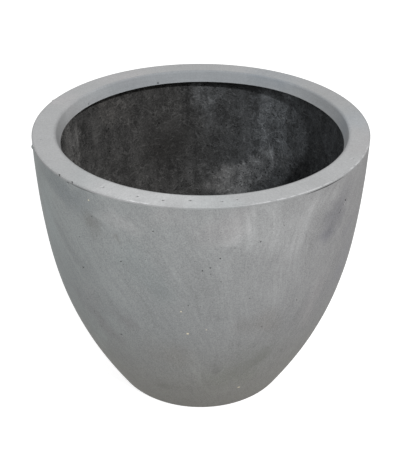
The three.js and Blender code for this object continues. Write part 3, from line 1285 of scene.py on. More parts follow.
@dataclass(frozen=True)
class FloorFinish:
    """Pale floor: white with a faint shadow to the camera, and a dull bounce to everything else."""

    glow: float = 0.80
    shaded: Colour = (0.55, 0.55, 0.55)
    bounce: Colour = (0.30, 0.30, 0.30)

    def paint(self) -> bpy.types.Material:
        """Makes the material."""
        canvas = Canvas.of_finish("studio_floor")
        seen = canvas.node("ShaderNodeLightPath", output="Is Camera Ray")
        shown = seen.larger(seen.beside("Is Glossy Ray")).larger(seen.beside("Is Transmission Ray"))
        pale = canvas.node("ShaderNodeBsdfDiffuse", inputs={"Color": self.shaded})
        glow = canvas.node("ShaderNodeEmission", inputs={"Color": WHITE, "Strength": self.glow})
        white = canvas.node("ShaderNodeAddShader", inputs={0: pale, 1: glow})
        dull = canvas.node("ShaderNodeBsdfDiffuse", inputs={"Color": self.bounce})
        canvas.end(canvas.node("ShaderNodeMixShader", inputs={0: shown, 1: dull, 2: white}))
        return canvas.owner


# ----------------------------------------------------------------------------------------------------------
# Modelling
# ----------------------------------------------------------------------------------------------------------


def leave_edit_mode() -> None:
    """Goes back to object mode."""
    if bpy.context.mode != "OBJECT":
        bpy.ops.object.mode_set(mode="OBJECT")


def clear_bench() -> None:
    """Leaves edit mode and deselects everything."""
    leave_edit_mode()
    bpy.ops.object.select_all(action="DESELECT")


def apply_place() -> None:
    """Moves the place of the selected piece into its mesh."""
    bpy.ops.object.transform_apply(location=True, rotation=True, scale=True)


def move_face(distance: float) -> None:
    """Extrudes the selected face up by a distance, or down where that is below zero."""
    bpy.ops.mesh.extrude_region_move(TRANSFORM_OT_translate={"value": (0.0, 0.0, distance)})


def shrink_face(radius: float, cut: float, height: float) -> None:
    """Shrinks what is selected towards the axis.

    Args:
        radius: Its radius.
        cut: How much the radius loses.
        height: Its height.
    """
    share = 1.0 - cut / radius
    bpy.ops.transform.resize(value=(share, share, 1.0), center_override=(0.0, 0.0, height))


class Workpiece:
    """A mesh on the bench, with the moves that shape it."""

    def __init__(self, shape: bpy.types.Object, name: str) -> None:
        """Takes a new object and names it."""
        self.shape = shape
        self.shape.name = name
        self.shape.data.name = name

    @classmethod
    def turned(cls, name: str, section: Sequence[SectionPoint], steps: int) -> Workpiece:
        """Turns a closed section about the pot's axis.

        Args:
            name: The piece's name.
            section: The section's points in order.
            steps: Number of steps round the axis, a multiple of the number of sectors.

        Returns:
            The piece, closed and with its faces outwards.
        """
        clear_bench()
        first, last = section[0], section[-1]
        bpy.ops.mesh.primitive_plane_add(size=SEED_SIZE, location=(first.radius, 0.0, first.height))
        piece = cls(bpy.context.active_object, name)
        bpy.ops.object.mode_set(mode="EDIT")
        bpy.ops.mesh.select_mode(type="VERT")
        bpy.ops.mesh.select_all(action="SELECT")
        bpy.ops.mesh.merge(type="CENTER")
        for here, there in pairwise(section):
            move = (there.radius - here.radius, 0.0, there.height - here.height)
            bpy.ops.mesh.extrude_vertices_move(TRANSFORM_OT_translate={"value": move})
        leave_edit_mode()
        apply_place()
        places = piece.places()
        ends = np.zeros(len(places), bool)
        for end in (first, last):
            gap = np.hypot(places[:, 0] - end.radius, places[:, 2] - end.height)
            ends[gap.argmin()] = True
        piece.pick(ends)
        bpy.ops.mesh.edge_face_add()
        sector = math.tau / SECTORS
        axis: dict[str, Any] = {"center": ORIGIN, "axis": UP}
        bpy.ops.mesh.select_all(action="SELECT")
        bpy.ops.mesh.spin(steps=steps // SECTORS, angle=sector, **axis)
        bpy.ops.mesh.select_all(action="SELECT")
        bpy.ops.mesh.spin(steps=SECTORS - 1, angle=math.tau - sector, dupli=True, **axis)
        bpy.ops.mesh.select_all(action="SELECT")
        bpy.ops.mesh.remove_doubles(threshold=MERGE_DISTANCE)
        bpy.ops.mesh.normals_make_consistent(inside=False)
        leave_edit_mode()
        return piece

    def places(self) -> np.ndarray:
        """Where the vertices are, one row each. Leaves edit mode."""
        leave_edit_mode()
        flat = np.empty(len(self.shape.data.vertices) * 3, np.float32)
        self.shape.data.vertices.foreach_get("co", flat)
        return flat.reshape(-1, 3)

    def rings(self) -> tuple[np.ndarray, np.ndarray]:
        """Radius and height of each vertex. Leaves edit mode."""
        places = self.places()
        return np.hypot(places[:, 0], places[:, 1]), places[:, 2]

    def azimuths(self) -> np.ndarray:
        """Azimuth of each vertex, in degrees from -180 to 180. Leaves edit mode."""
        places = self.places()
        return np.degrees(np.arctan2(places[:, 1], places[:, 0]))

    def gaps(self, centre: Vector) -> np.ndarray:
        """Distance of each vertex from a place. Leaves edit mode."""
        return np.linalg.norm(self.places() - np.array(centre, np.float32), axis=1)

    def pick(self, chosen: np.ndarray) -> None:
        """Enters edit mode with only some vertices selected.

        Args:
            chosen: Whether each vertex is one of them.
        """
        leave_edit_mode()
        bpy.context.view_layer.objects.active = self.shape
        bpy.ops.object.mode_set(mode="EDIT")
        bpy.ops.mesh.select_mode(type="VERT")
        bpy.ops.mesh.select_all(action="DESELECT")
        bpy.ops.object.mode_set(mode="OBJECT")
        self.shape.data.vertices.foreach_set("select", chosen)
        bpy.ops.object.mode_set(mode="EDIT")
        bpy.ops.mesh.select_mode(type="VERT")

    def press(self, centre: Vector, move: Vector, reach: float) -> None:
        """Moves the nearest vertex to a place, and with it those in reach, less and less.

        Args:
            centre: The place.
            move: How far the vertex moves.
            reach: Distance at which vertices stay where they are.
        """
        away = self.gaps(centre)
        nearest = np.zeros(len(away), bool)
        nearest[away.argmin()] = True
        self.pick(nearest)
        bpy.ops.transform.translate(
            value=move,
            use_proportional_edit=True,
            use_proportional_connected=True,
            proportional_edit_falloff="SPHERE",
            proportional_size=reach,
        )
        leave_edit_mode()

    def group(self, name: str, weights: np.ndarray) -> None:
        """Makes a vertex group, in even grades of weight.

        Args:
            name: Its name.
            weights: The weight of each vertex, from 0 to 1.
        """
        made = self.shape.vertex_groups.new(name=name)
        grades = np.round(np.clip(weights, 0.0, 1.0) * WEIGHT_GRADES).astype(int)
        for grade in range(1, WEIGHT_GRADES + 1):
            members = np.nonzero(grades == grade)[0].tolist()
            if members:
                made.add(members, grade / WEIGHT_GRADES, "REPLACE")

    def displace(self, group: str, amount: float, settings: dict[str, Any]) -> None:
        """Moves the vertices of a group by a Displace modifier.

        Args:
            group: The vertex group, whose weights say how far.
            amount: The modifier's strength.
            settings: The modifier's other settings.
        """
        bpy.context.view_layer.objects.active = self.shape
        bpy.ops.object.modifier_add(type="DISPLACE")
        modifier = self.shape.modifiers[-1]
        for name, value in {"vertex_group": group, "strength": amount, **settings}.items():
            setattr(modifier, name, value)
        bpy.ops.object.modifier_apply(modifier=modifier.name)

    def roughen(self, group: str, lump: float, amount: float) -> None:
        """Gives a vertex group soft lumps.

        Args:
            group: The vertex group.
            lump: Size of the lumps.
            amount: Height from the lowest place to the highest.
        """
        texture = bpy.data.textures.new(f"{self.shape.name}_clouds", type="CLOUDS")
        texture.noise_scale = lump
        self.displace(group, amount, {"texture": texture, "texture_coords": "LOCAL", "mid_level": 0.5})

    def blemish(self, sizes: PotSizes, marks: Sequence[Blemish], turn_steps: int) -> list[Spot]:
        """Works single pits, chips and nibs into the surface.

        Args:
            sizes: The pot's sizes.
            marks: The marks.
            turn_steps: Number of the piece's steps round the axis.

        Returns:
            The places of those that go in.
        """
        spacing = math.tau * sizes.wall.rim_radius / turn_steps
        for mark in marks:
            centre, inward = place_on(sizes, mark.surface, mark.azimuth, mark.level)
            self.pick(self.gaps(centre) < mark.reach + spacing)
            bpy.ops.mesh.subdivide(number_cuts=MARK_CUTS)
            self.press(centre, inward * mark.depth, mark.reach)
        return [mark.spot(sizes) for mark in marks if mark.depth > 0.0]

    def dress(self, material: bpy.types.Material, body: str, slot: str, crease: float) -> bpy.types.Object:
        """Ends the piece: smooth shading, material and body.

        Args:
            material: Its material.
            body: The body that it rides on.
            slot: Not used.
            crease: Angle in degrees from which an edge stays sharp.

        Returns:
            The finished object.
        """
        clear_bench()
        self.shape.select_set(True)
        bpy.context.view_layer.objects.active = self.shape
        bpy.ops.object.shade_smooth_by_angle(angle=math.radians(crease))
        self.shape.data.materials.clear()
        self.shape.data.materials.append(material)
        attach(self.shape, body)
        log.info("%s: %d faces", self.shape.name, len(self.shape.data.polygons))
        return self.shape


# ----------------------------------------------------------------------------------------------------------
# Pieces
# ----------------------------------------------------------------------------------------------------------


@dataclass
class FaceCoat:
    """The stone face coat: outside wall, foot ring and drain hole."""

    sizes: PotSizes
    floor_thickness: float = 0.006
    inner_corner: float = 0.015
    base_fillet: float = 0.012
    foot_width: float = 0.024
    foot_slope: float = 0.003
    foot_recess: float = 0.0025
    drain_chamfer: float = 0.0015
    outer_steps: tuple[int, int] = (112, 10)  # down the wall and round the corner
    inner_steps: tuple[int, int] = (24, 5)
    recess_steps: int = 12
    foot_steps: int = 4
    middle_steps: tuple[int, int] = (60, 6)
    turn_steps: int = 384
    wave_size: float = 0.11
    wave_height: float = 0.0009
    still_foot: float = 0.012  # up to this height the wall has no waves
    foot_fade: float = 0.05
    top_fade: float = 0.03
    marks: tuple[Blemish, ...] = (
        Blemish(Surface.WALL, 224.5, 0.4250, 0.0022, 0.0015),
        Blemish(Surface.WALL, 190.5, 0.4150, 0.0030, -0.0018),
        Blemish(Surface.WALL, 320.4, 0.3690, 0.0020, 0.0014),
        Blemish(Surface.WALL, 321.4, 0.3730, 0.0018, 0.0013),
        Blemish(Surface.WALL, 322.9, 0.3800, 0.0021, 0.0014),
        Blemish(Surface.WALL, 323.8, 0.3840, 0.0022, 0.0015),
        Blemish(Surface.WALL, 276.0, 0.3506, 0.0013, 0.0009),
        Blemish(Surface.WALL, 273.0, 0.3357, 0.0013, 0.0009),
        Blemish(Surface.WALL, 270.5, 0.3315, 0.0010, 0.0007),
        Blemish(Surface.WALL, 273.0, 0.3253, 0.0010, 0.0007),
        Blemish(Surface.WALL, 288.5, 0.3705, 0.0013, 0.0009),
        Blemish(Surface.WALL, 317.0, 0.2935, 0.0013, 0.0009),
        Blemish(Surface.WALL, 305.0, 0.2477, 0.0012, 0.0008),
        Blemish(Surface.WALL, 319.5, 0.2530, 0.0010, 0.0007),
        Blemish(Surface.WALL, 255.5, 0.3888, 0.0013, 0.0009),
        Blemish(Surface.WALL, 244.0, 0.3294, 0.0012, 0.0008),
        Blemish(Surface.WALL, 227.0, 0.2916, 0.0014, 0.0010),
        Blemish(Surface.WALL, 225.0, 0.2288, 0.0013, 0.0009),
        Blemish(Surface.WALL, 227.5, 0.2090, 0.0013, 0.0009),
        Blemish(Surface.WALL, 229.0, 0.1820, 0.0012, 0.0008),
        Blemish(Surface.WALL, 227.5, 0.3442, 0.0014, 0.0010),
        Blemish(Surface.WALL, 239.0, 0.1836, 0.0025, 0.0017),
        Blemish(Surface.WALL, 290.0, 0.1805, 0.0016, 0.0011),
        Blemish(Surface.WALL, 290.5, 0.1743, 0.0014, 0.0010),
        Blemish(Surface.WALL, 292.0, 0.2155, 0.0013, 0.0009),
    )

    def section(self) -> list[SectionPoint]:
        """The section, up the outside and down the inside."""
        sizes, wall, top = self.sizes, self.sizes.wall, self.sizes.face_top
        outside = wall.bowl(0.0, top, 0.0, self.base_fillet, *self.outer_steps)[::-1]
        floor = self.foot_recess + self.floor_thickness
        inside = wall.bowl(sizes.face_thickness, top, floor, self.inner_corner, *self.inner_steps)
        foot_edge = outside[0].radius - self.foot_width
        hole = sizes.drain_radius
        underside = SectionPoint(foot_edge - self.foot_slope, self.foot_recess)
        chamfer_foot = SectionPoint(hole + self.drain_chamfer, self.foot_recess)
        return [
            *outside,
            *inside,
            SectionPoint(hole, floor),
            SectionPoint(hole, self.foot_recess + self.drain_chamfer),
            *straight_run(chamfer_foot, underside, self.recess_steps),
            underside,
            *straight_run(SectionPoint(foot_edge, 0.0), outside[0], self.foot_steps),
        ]

    def make(self, finish: FaceCoatFinish) -> bpy.types.Object:
        """Models the face coat and gives it its finish."""
        sizes = self.sizes
        piece = Workpiece.turned("stone_face_coat", self.section(), self.turn_steps)
        radius, height = piece.rings()
        middle_floor = self.floor_thickness / 2.0
        depth = sizes.face_thickness / 2.0
        middle = sizes.wall.bowl(depth, sizes.face_top, middle_floor, self.base_fillet, *self.middle_steps)
        skin = radius > radius_along(middle, height)
        fade = ramp(height, self.still_foot, self.foot_fade) * ramp(height, sizes.face_top, -self.top_fade)
        piece.group("wall", skin * fade)
        piece.roughen("wall", self.wave_size, self.wave_height)
        throats = piece.blemish(sizes, self.marks, self.turn_steps)
        coat = piece.dress(finish.paint(sizes, throats), POT_BODY, "face_coat", 40.0)
        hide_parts("outer_shell")
        return coat


@dataclass
class FibreLining:
    """The fibre laminate that backs the face coat and makes the inner floor."""

    sizes: PotSizes
    back_corner: float = 0.0147
    corner: float = 0.030
    face_steps: tuple[int, int] = (104, 12)  # down the wall and round the corner
    back_steps: tuple[int, int] = (20, 5)
    middle_steps: tuple[int, int] = (60, 8)
    floor_steps: int = 30
    turn_steps: int = 384
    lump_size: float = 0.035
    lump_height: float = 0.0014
    ripple_size: float = 0.013
    ripple_height: float = 0.0008
    still_top: float = 0.008  # depth below the collar's plate in which the face has no lumps
    still_width: float = 0.010  # distance in which the lumps rise to their height

    def section(self) -> list[SectionPoint]:
        """The section, up the back and down the face."""
        sizes, top = self.sizes, self.sizes.lining_top
        outer, inner = sizes.lining_outer_depth, sizes.lining_inner_depth
        back = sizes.wall.bowl(outer, top, sizes.lining_underside, self.back_corner, *self.back_steps)
        face = sizes.wall.bowl(inner, top, sizes.floor_top, self.corner, *self.face_steps)
        hole = sizes.drain_radius
        return [
            *back[::-1],
            *face[:-1],
            *straight_run(face[-1], SectionPoint(hole, sizes.floor_top), self.floor_steps),
            SectionPoint(hole, sizes.floor_top),
            SectionPoint(hole, sizes.lining_underside),
        ]

    def make(self, finish: FibreLaminateFinish) -> bpy.types.Object:
        """Models the laminate and gives it its finish."""
        sizes = self.sizes
        piece = Workpiece.turned("charcoal_fibre_lining", self.section(), self.turn_steps)
        radius, height = piece.rings()
        depth = sizes.lining_outer_depth + sizes.lining_thickness / 2.0
        middle_floor = sizes.lining_underside + sizes.lining_floor / 2.0
        middle = sizes.wall.bowl(depth, sizes.lining_top, middle_floor, self.corner, *self.middle_steps)
        face = (radius < radius_along(middle, height)) & (height > middle[-1].height)
        bung_seat = ramp(radius, sizes.bung_flange_radius, self.still_width)
        below_collar = ramp(height, sizes.lining_top - self.still_top, -self.still_width)
        piece.group("face", face * bung_seat * below_collar)
        piece.roughen("face", self.lump_size, self.lump_height)
        piece.roughen("face", self.ripple_size, self.ripple_height)
        lining = piece.dress(finish.paint(sizes), POT_BODY, "fibre_laminate", 60.0)
        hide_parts("fibre_lining")
        return lining


@dataclass
class LooseStrands:
    """Curled ends of glass strand that lie on the laminate's face."""

    sizes: PotSizes
    lining: bpy.types.Object
    count: int = 700
    shortest: float = 0.007
    longest: float = 0.015
    thickness: float = 0.00022
    points: int = 8
    bend_spread: float = 0.45  # in radians for each step
    above_floor: float = 0.03
    below_collar: float = 0.012
    sunk: float = 0.4  # share of its thickness at which a strand's line lies above the face
    seed: int = 430

    def make(self, finish: GlassStrandFinish) -> bpy.types.Object:
        """Lays the strands on the laminate and gives them their finish."""
        chance = random.Random(self.seed)
        skin = BVHTree.FromObject(self.lining, bpy.context.evaluated_depsgraph_get())
        clear_bench()
        curve = bpy.data.curves.new("loose_glass_strands", "CURVE")
        curve.dimensions = "3D"
        curve.bevel_depth = self.thickness
        curve.bevel_resolution = 0
        curve.use_fill_caps = True
        for _ in range(self.count):
            self._lay(curve, skin, chance)
        shape = bpy.data.objects.new("loose_glass_strands", curve)
        bpy.context.scene.collection.objects.link(shape)
        shape.select_set(True)
        bpy.context.view_layer.objects.active = shape
        bpy.ops.object.convert(target="MESH")
        piece = Workpiece(bpy.context.active_object, "loose_glass_strands")
        return piece.dress(finish.paint(), POT_BODY, "fibre_laminate", 60.0)

    def _lay(self, curve: bpy.types.Curve, skin: BVHTree, chance: random.Random) -> None:
        """Lays one strand: a bent line of even steps that keeps to the laminate.

        Args:
            curve: The curve that takes it.
            skin: The laminate's faces.
            chance: Where its place, length and bend are drawn from.
        """
        azimuth = chance.uniform(0.0, math.tau)
        low, high = self.sizes.floor_top + self.above_floor, self.sizes.lining_top - self.below_collar
        start = self.sizes.wall.at_height(self.sizes.lining_inner_depth, chance.uniform(low, high))
        here = Vector((start.radius * math.cos(azimuth), start.radius * math.sin(azimuth), start.height))
        heading = chance.uniform(0.0, math.tau)
        bend = chance.gauss(0.0, self.bend_spread)
        step = chance.uniform(self.shortest, self.longest) / self.points
        spline = curve.splines.new("POLY")
        spline.points.add(self.points - 1)
        for point in spline.points:
            nearest, normal, _, _ = skin.find_nearest(here)
            along = normal.cross(Vector(UP)).normalized()
            up = along.cross(normal)
            point.co = (*(nearest + normal * self.thickness * self.sunk), 1.0)
            here = nearest + (along * math.cos(heading) + up * math.sin(heading)) * step
            heading += bend


@dataclass
class CastCollar:
    """The collar: flat sanded top, edge over the face coat, and the lip that hangs in the mouth."""

    sizes: PotSizes
    edge_height: float = 0.003
    outer_arris: float = 0.001
    inner_arris: float = 0.003
    lip_thickness: float = 0.010
    lip_edge: float = 0.0007
    lip_corner: float = 0.003
    plate_thickness: float = 0.010
    seat_gap: float = 0.0004  # from here, gaps between a corner and the first vertex beside it
    top_gap: float = 0.0015
    underside_gap: float = 0.0025
    edge_steps: int = 2
    top_steps: int = 14
    lip_steps: int = 8
    underside_steps: int = 3
    inner_arris_steps: int = 6
    round_steps: int = 4
    lip_edge_steps: int = 3
    turn_steps: int = 600
    sanded_depth: float = 0.0005
    wave_size: float = 0.05
    wave_height: float = 0.0007
    short_foot_azimuth: float = 52.0  # the lip's foot was struck off a little higher here
    short_foot_spread: float = 38.0
    short_foot_lift: float = 0.0018
    marks: tuple[Blemish, ...] = (
        Blemish(Surface.RIM_TOP, 236.5, 0.2343, 0.0026, 0.0018),
        Blemish(Surface.RIM_TOP, 249.5, 0.2352, 0.0020, 0.0014),
        Blemish(Surface.RIM_TOP, 258.0, 0.2352, 0.0024, 0.0016),
        Blemish(Surface.RIM_TOP, 266.5, 0.2308, 0.0024, 0.0016),
        Blemish(Surface.RIM_TOP, 276.6, 0.2343, 0.0023, 0.0016),
        Blemish(Surface.RIM_TOP, 281.5, 0.2326, 0.0018, 0.0012),
        Blemish(Surface.RIM_TOP, 332.5, 0.2385, 0.0021, 0.0015),
        Blemish(Surface.RIM_TOP, 192.5, 0.2375, 0.0015, 0.0011),
        Blemish(Surface.LIP, 110.5, 0.4148, 0.0020, 0.0014),
        Blemish(Surface.LIP, 148.5, 0.4148, 0.0020, 0.0014),
        Blemish(Surface.WALL, 158.5, 0.4290, 0.0028, -0.0016),
        Blemish(Surface.WALL, 226.5, 0.4290, 0.0025, 0.0014),
        Blemish(Surface.WALL, 220.0, 0.4283, 0.0030, 0.0016),
    )

    def section(self) -> list[SectionPoint]:
        """The section, from the rebate up the outside, over the top and round the lip."""
        sizes, wall = self.sizes, self.sizes.wall
        seat = sizes.height - self.edge_height
        plate = sizes.height - self.plate_thickness
        foot = sizes.height - sizes.lip_depth
        foot_radius = sizes.lip_radius(foot)
        rebate_foot = wall.at_height(sizes.lining_outer_depth, plate)
        rebate_top = wall.at_height(sizes.lining_outer_depth, seat)
        edge_foot = wall.at_height(0.0, seat)
        arris_foot = wall.at_height(0.0, sizes.height - self.outer_arris)
        arris_centre = SectionPoint(arris_foot.radius - self.outer_arris, arris_foot.height)
        top_arris = self._round_centre(sizes.mouth_radius, sizes.height, self.inner_arris)
        corner = self._round_centre(sizes.lip_radius(plate) + self.lip_thickness, plate, self.lip_corner)
        lip_side = 180.0 - math.degrees(sizes.lip_lean)
        face = round_corner(top_arris, self.inner_arris, 90.0, lip_side, self.inner_arris_steps)
        face_foot = SectionPoint(foot_radius + self.lip_edge * 0.3, foot + self.lip_edge)
        foot_edge = SectionPoint(foot_radius + self.lip_edge * 1.1, foot + self.lip_edge)
        top_start = SectionPoint(arris_centre.radius - self.top_gap, sizes.height)
        foot_start = SectionPoint(foot_radius + self.underside_gap, foot)
        foot_end = SectionPoint(foot_radius + self.lip_thickness, foot)
        return [
            rebate_foot,
            rebate_top,
            *straight_run(SectionPoint(rebate_top.radius + self.seat_gap, seat), edge_foot, self.edge_steps),
            *straight_run(edge_foot, arris_foot, self.edge_steps),
            *round_corner(arris_centre, self.outer_arris, 0.0, 90.0, self.round_steps),
            *straight_run(top_start, SectionPoint(top_arris.radius, sizes.height), self.top_steps),
            *face[:-1],
            *straight_run(face[-1], face_foot, self.lip_steps),
            *round_corner(foot_edge, self.lip_edge, 190.0, 270.0, self.lip_edge_steps),
            *straight_run(foot_start, foot_end, self.underside_steps),
            foot_end,
            *round_corner(corner, self.lip_corner, lip_side, 90.0, self.round_steps),
        ]

    def _round_centre(self, line_radius: float, surface: float, radius: float) -> SectionPoint:
        """Centre of a round between a level surface and a line that leans as the lip does.

        Args:
            line_radius: Radius at which the line meets the surface.
            surface: Height of the surface, which lies above the round.
            radius: Radius of the round.

        Returns:
            The centre.
        """
        lean = self.sizes.lip_lean
        return SectionPoint(line_radius + radius * (1.0 - math.sin(lean)) / math.cos(lean), surface - radius)

    def make(self, finish: CollarFinish) -> bpy.types.Object:
        """Models the collar and gives it its finish."""
        sizes = self.sizes
        piece = Workpiece.turned("sanded_cast_collar", self.section(), self.turn_steps)
        radius, height = piece.rings()
        piece.pick(radius < sizes.mouth_radius + self.lip_thickness + self.lip_corner * 0.5)
        bpy.ops.transform.translate(value=sizes.mouth_offset)
        leave_edit_mode()
        near_mouth = ramp(radius, sizes.mouth_radius + self.inner_arris, -self.inner_arris)
        piece.group("lip", near_mouth * (height < sizes.height - self.sanded_depth))
        piece.roughen("lip", self.wave_size, self.wave_height)
        self._shorten_foot(piece)
        throats = piece.blemish(sizes, self.marks, self.turn_steps)
        collar = piece.dress(finish.paint(sizes, throats), POT_BODY, "cast_collar", 40.0)
        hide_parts("rim_ring")
        return collar

    def _shorten_foot(self, piece: Workpiece) -> None:
        """Raises the lip's foot over the stretch where it hangs less deep."""
        radius, height = piece.rings()
        away = np.abs(piece.azimuths() - self.short_foot_azimuth)
        near = np.clip(1.0 - away / self.short_foot_spread, 0.0, 1.0)
        low = ramp(height, self.sizes.height - self.inner_arris, -self.sizes.lip_depth)
        on_lip = radius < self.sizes.mouth_radius + self.lip_thickness
        piece.group("short_foot", near * near * (3.0 - 2.0 * near) * low * on_lip)
        piece.displace("short_foot", self.short_foot_lift, {"direction": "Z", "mid_level": 0.0})


@dataclass
class MortarJoint:
    """The mortar that holds the collar: the cove under its plate, and the bead under its outside edge."""

    sizes: PotSizes
    cove_leg: float = 0.006
    cove_hollow: float = 0.0036
    cove_steps: int = 12
    lump_size: float = 0.014
    lump_height: float = 0.0012
    bead_reach: float = 0.0035
    bead_inset: float = 0.00004
    open_from: float = 303.0  # azimuths between which the bead stands back
    open_to: float = 321.0
    open_depth: float = 0.0022
    turn_steps: int = 288

    def make(self, finish: MortarFinish) -> list[bpy.types.Object]:
        """Models both runs of mortar and gives them their finish."""
        material = finish.paint()
        return [self._cove(material), self._bead(material)]

    def _cove(self, material: bpy.types.Material) -> bpy.types.Object:
        """The cove in the corner between the collar's plate and the laminate."""
        sizes = self.sizes
        depth = sizes.lining_inner_depth + sizes.bond_line
        top = sizes.lining_top
        corner = sizes.wall.at_height(depth, top)
        foot = sizes.wall.at_height(depth, top - self.cove_leg)
        drawn_in = self.cove_leg - self.cove_hollow
        plate_foot = Vector((corner.radius - self.cove_leg, top))
        control = Vector((corner.radius - drawn_in, top - drawn_in))
        face = []
        for step in range(self.cove_steps + 1):
            share = step / self.cove_steps
            rest = 1.0 - share
            point = plate_foot * rest * rest + control * 2.0 * rest * share + Vector(foot) * share * share
            face.append(SectionPoint(point.x, point.y))
        piece = Workpiece.turned("mortar_cove", [corner, *face], self.turn_steps)
        radius, height = piece.rings()
        edge = MILLIMETRE
        inside = (radius < corner.radius - edge) & (height < top - edge) & (height > foot.height + edge)
        piece.group("face", inside.astype(float))
        piece.roughen("face", self.lump_size, -self.lump_height)
        cove = piece.dress(material, POT_BODY, "bonding_mortar", 50.0)
        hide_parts("rim_bond")
        return cove

    def _bead(self, material: bpy.types.Material) -> bpy.types.Object:
        """The bead in the joint, flush all round but for a stretch where it stands back."""
        sizes = self.sizes
        low = sizes.wall.at_height(self.bead_inset, sizes.face_top)
        high = SectionPoint(low.radius, sizes.face_top + sizes.bond_line)
        back = low.radius - self.bead_reach
        section = [SectionPoint(back, low.height), low, high, SectionPoint(back, high.height)]
        piece = Workpiece.turned("mortar_bead", section, self.turn_steps)
        radius, _ = piece.rings()
        azimuth = piece.azimuths() % 360.0
        front = radius > low.radius - self.bead_reach / 2.0
        piece.pick(front & (azimuth > self.open_from) & (azimuth < self.open_to))
        shrink_face(low.radius, self.open_depth, low.height)
        return piece.dress(material, POT_BODY, "bonding_mortar", 50.0)


@dataclass
class DrainBung:
    """The rubber bung: flange on the inner floor, tapered body in the hole, and a blind bore from below."""

    sizes: PotSizes
    flange_height: float = 0.0035
    flange_round: float = 0.0013
    clearance: float = 0.0003
    taper: float = 0.001
    bore_radius: float = 0.006
    bore_depth: float = 0.009
    dish_radius: float = 0.008
    dish_depth: float = 0.0007
    sides: int = 96

    def make(self, finish: RubberFinish) -> bpy.types.Object:
        """Models the bung and gives it its finish."""
        sizes = self.sizes
        seat = sizes.bung_top - self.flange_height
        flange = sizes.bung_flange_radius
        body = sizes.drain_radius - self.clearance
        clear_bench()
        bpy.ops.mesh.primitive_cylinder_add(
            vertices=self.sides,
            radius=flange,
            depth=self.flange_height,
            end_fill_type="NGON",
            location=(0.0, 0.0, seat + self.flange_height / 2.0),
        )
        apply_place()
        piece = Workpiece(bpy.context.active_object, "rubber_drain_bung")
        self._pick_disc(piece, seat)
        bpy.ops.mesh.inset(thickness=flange - body, depth=0.0)
        move_face(sizes.bung_foot - seat)
        shrink_face(body, self.taper, sizes.bung_foot)
        bpy.ops.mesh.inset(thickness=body - self.taper - self.bore_radius, depth=0.0)
        move_face(self.bore_depth)
        self._pick_disc(piece, sizes.bung_top)
        bpy.ops.mesh.inset(thickness=flange - self.dish_radius, depth=0.0)
        move_face(-self.dish_depth)
        bpy.ops.mesh.inset(thickness=self.dish_radius * 0.2, depth=0.0)
        self._round_edges(piece, sizes.bung_top, flange, self.flange_round, 4)
        self._round_edges(piece, sizes.bung_top, self.dish_radius, self.dish_depth * 0.5, 2)
        self._round_edges(piece, sizes.bung_foot, body - self.taper, self.dish_depth * 0.6, 2)
        bpy.ops.object.mode_set(mode="EDIT")
        bpy.ops.mesh.select_all(action="SELECT")
        bpy.ops.mesh.normals_make_consistent(inside=False)
        bung = piece.dress(finish.paint(), BUNG_BODY, "bung_rubber", 40.0)
        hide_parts("drain_plug")
        return bung

    @staticmethod
    def _pick_disc(piece: Workpiece, height: float) -> None:
        """Selects the flat face at a height, and enters edit mode."""
        piece.pick(np.abs(piece.rings()[1] - height) < SAME_HEIGHT)

    @staticmethod
    def _round_edges(piece: Workpiece, height: float, radius: float, size: float, segments: int) -> None:
        """Bevels a ring of edges.

        Args:
            piece: The piece.
            height: Height of the ring.
            radius: Radius of the ring.
            size: Width of the bevel on each face.
            segments: Number of its steps.
        """
        radii, heights = piece.rings()
        piece.pick((np.abs(heights - height) < SAME_HEIGHT) & (np.abs(radii - radius) < SAME_RADIUS))
        bpy.ops.mesh.bevel(offset=size, segments=segments, affect="EDGES")


# ----------------------------------------------------------------------------------------------------------
# Studio
# ----------------------------------------------------------------------------------------------------------


@dataclass(frozen=True)
class Lamp:
    """A soft lamp that faces the pot.

    Attributes:
        name: Its name.
        azimuth: Its azimuth, in degrees.
        elevation: Its height above the horizon, in degrees.
        distance: Its distance from the pot's rim.
        size: Its width.
        level: Brightness of a white sheet that faces it at the pot.
    """

    name: str
    azimuth: float
    elevation: float
    distance: float
    size: float
    level: float

    def hang(self, target: Vector) -> None:
        """Puts the lamp up.

        Args:
            target: The place that it faces.
        """
        turn, rise = math.radians(self.azimuth), math.radians(self.elevation)
        back = Vector((math.cos(turn) * math.cos(rise), math.sin(turn) * math.cos(rise), math.sin(rise)))
        light = bpy.data.lights.new(self.name, "AREA")
        light.shape = "DISK"
        light.size = self.size
        light.energy = self.level * math.pi**2 * self.distance**2
        lamp = bpy.data.objects.new(self.name, light)
        lamp.location = target + back * self.distance
        lamp.rotation_euler = back.to_track_quat("Z", "Y").to_euler()
        lamp.visible_camera = False
        bpy.context.scene.collection.objects.link(lamp)


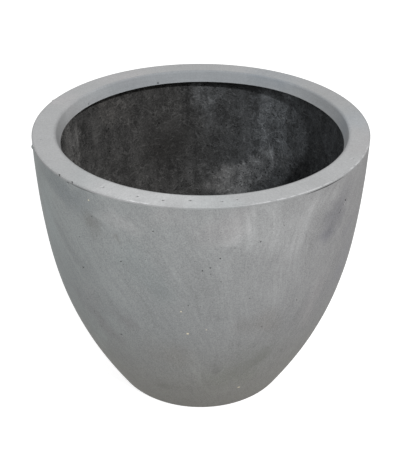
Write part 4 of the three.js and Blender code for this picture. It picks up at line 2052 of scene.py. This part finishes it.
@dataclass(frozen=True)
class Studio:
    """Floor, world, lamps and camera."""

    sizes: PotSizes
    ambient: float = 0.55
    floor_size: float = 14.0
    lamps: tuple[Lamp, ...] = (
        Lamp("key_lamp", 290.5, 36.0, 3.0, 0.14, 0.60),
        Lamp("left_fill", 195.0, 12.0, 2.5, 1.0, 0.145),
    )
    camera_distance: float = 1.4466
    camera_elevation: float = 24.664
    pan: float = 0.00334
    tilt: float = -0.11061
    roll: float = 0.00435
    focal_length: float = 74.83
    sensor: float = 36.0

    def build(self) -> None:
        """Sets up the whole studio."""
        self._floor()
        self._world()
        for lamp in self.lamps:
            lamp.hang(Vector((0.0, 0.0, self.sizes.height)))
        self._camera()
        bpy.context.scene.view_settings.view_transform = "Standard"

    def _floor(self) -> None:
        """The floor that the pot stands on."""
        clear_bench()
        bpy.ops.mesh.primitive_plane_add(size=self.floor_size, location=ORIGIN)
        floor = bpy.context.active_object
        floor.name = "studio_floor"
        floor.data.materials.append(FloorFinish().paint())

    def _world(self) -> None:
        """An even sky that the camera sees as white."""
        world = bpy.data.worlds.new("studio_world")
        bpy.context.scene.world = world
        canvas = Canvas(world)
        seen = canvas.node("ShaderNodeLightPath", output="Is Camera Ray")
        shown = seen.larger(seen.beside("Is Transmission Ray"))
        sky = canvas.node("ShaderNodeBackground", inputs={"Color": WHITE, "Strength": self.ambient})
        white = canvas.node("ShaderNodeBackground", inputs={"Color": WHITE, "Strength": 1.0})
        mix = canvas.node("ShaderNodeMixShader", inputs={0: shown, 1: sky, 2: white})
        canvas.end(mix, "ShaderNodeOutputWorld")

    def _camera(self) -> None:
        """The camera, aimed near the middle of the rim."""
        rim = Vector((0.0, 0.0, self.sizes.height))
        rise = math.radians(self.camera_elevation)
        place = rim + self.camera_distance * Vector((0.0, -math.cos(rise), math.sin(rise)))
        ahead = (rim - place).normalized()
        side = Vector((1.0, 0.0, 0.0))
        over = side.cross(ahead)
        look = (
            ahead * math.cos(self.pan) * math.cos(self.tilt)
            + side * math.sin(self.pan) * math.cos(self.tilt)
            + over * math.sin(self.tilt)
        ).normalized()
        level_right = look.cross(Vector(UP)).normalized()
        level_up = level_right.cross(look)
        right = level_right * math.cos(self.roll) + level_up * math.sin(self.roll)
        up = right.cross(look)
        data = bpy.data.cameras.new("camera")
        data.lens = self.focal_length
        data.sensor_width = self.sensor
        data.sensor_fit = "AUTO"
        camera = bpy.data.objects.new("camera", data)
        turn = Matrix((right, up, -look)).transposed()
        camera.matrix_world = Matrix.Translation(place) @ turn.to_4x4()
        bpy.context.scene.collection.objects.link(camera)
        bpy.context.scene.camera = camera


def main() -> None:
    """Builds the planter's pieces and the studio."""
    logging.basicConfig(level=logging.INFO, format="%(name)s %(relativeCreated)d ms: %(message)s")
    sizes = PotSizes.from_frame()
    FaceCoat(sizes).make(FaceCoatFinish())
    lining = FibreLining(sizes).make(FibreLaminateFinish())
    LooseStrands(sizes, lining).make(GlassStrandFinish())
    CastCollar(sizes).make(CollarFinish())
    MortarJoint(sizes).make(MortarFinish())
    DrainBung(sizes).make(RubberFinish())
    Studio(sizes).build()


if __name__ == "__main__":
    main()
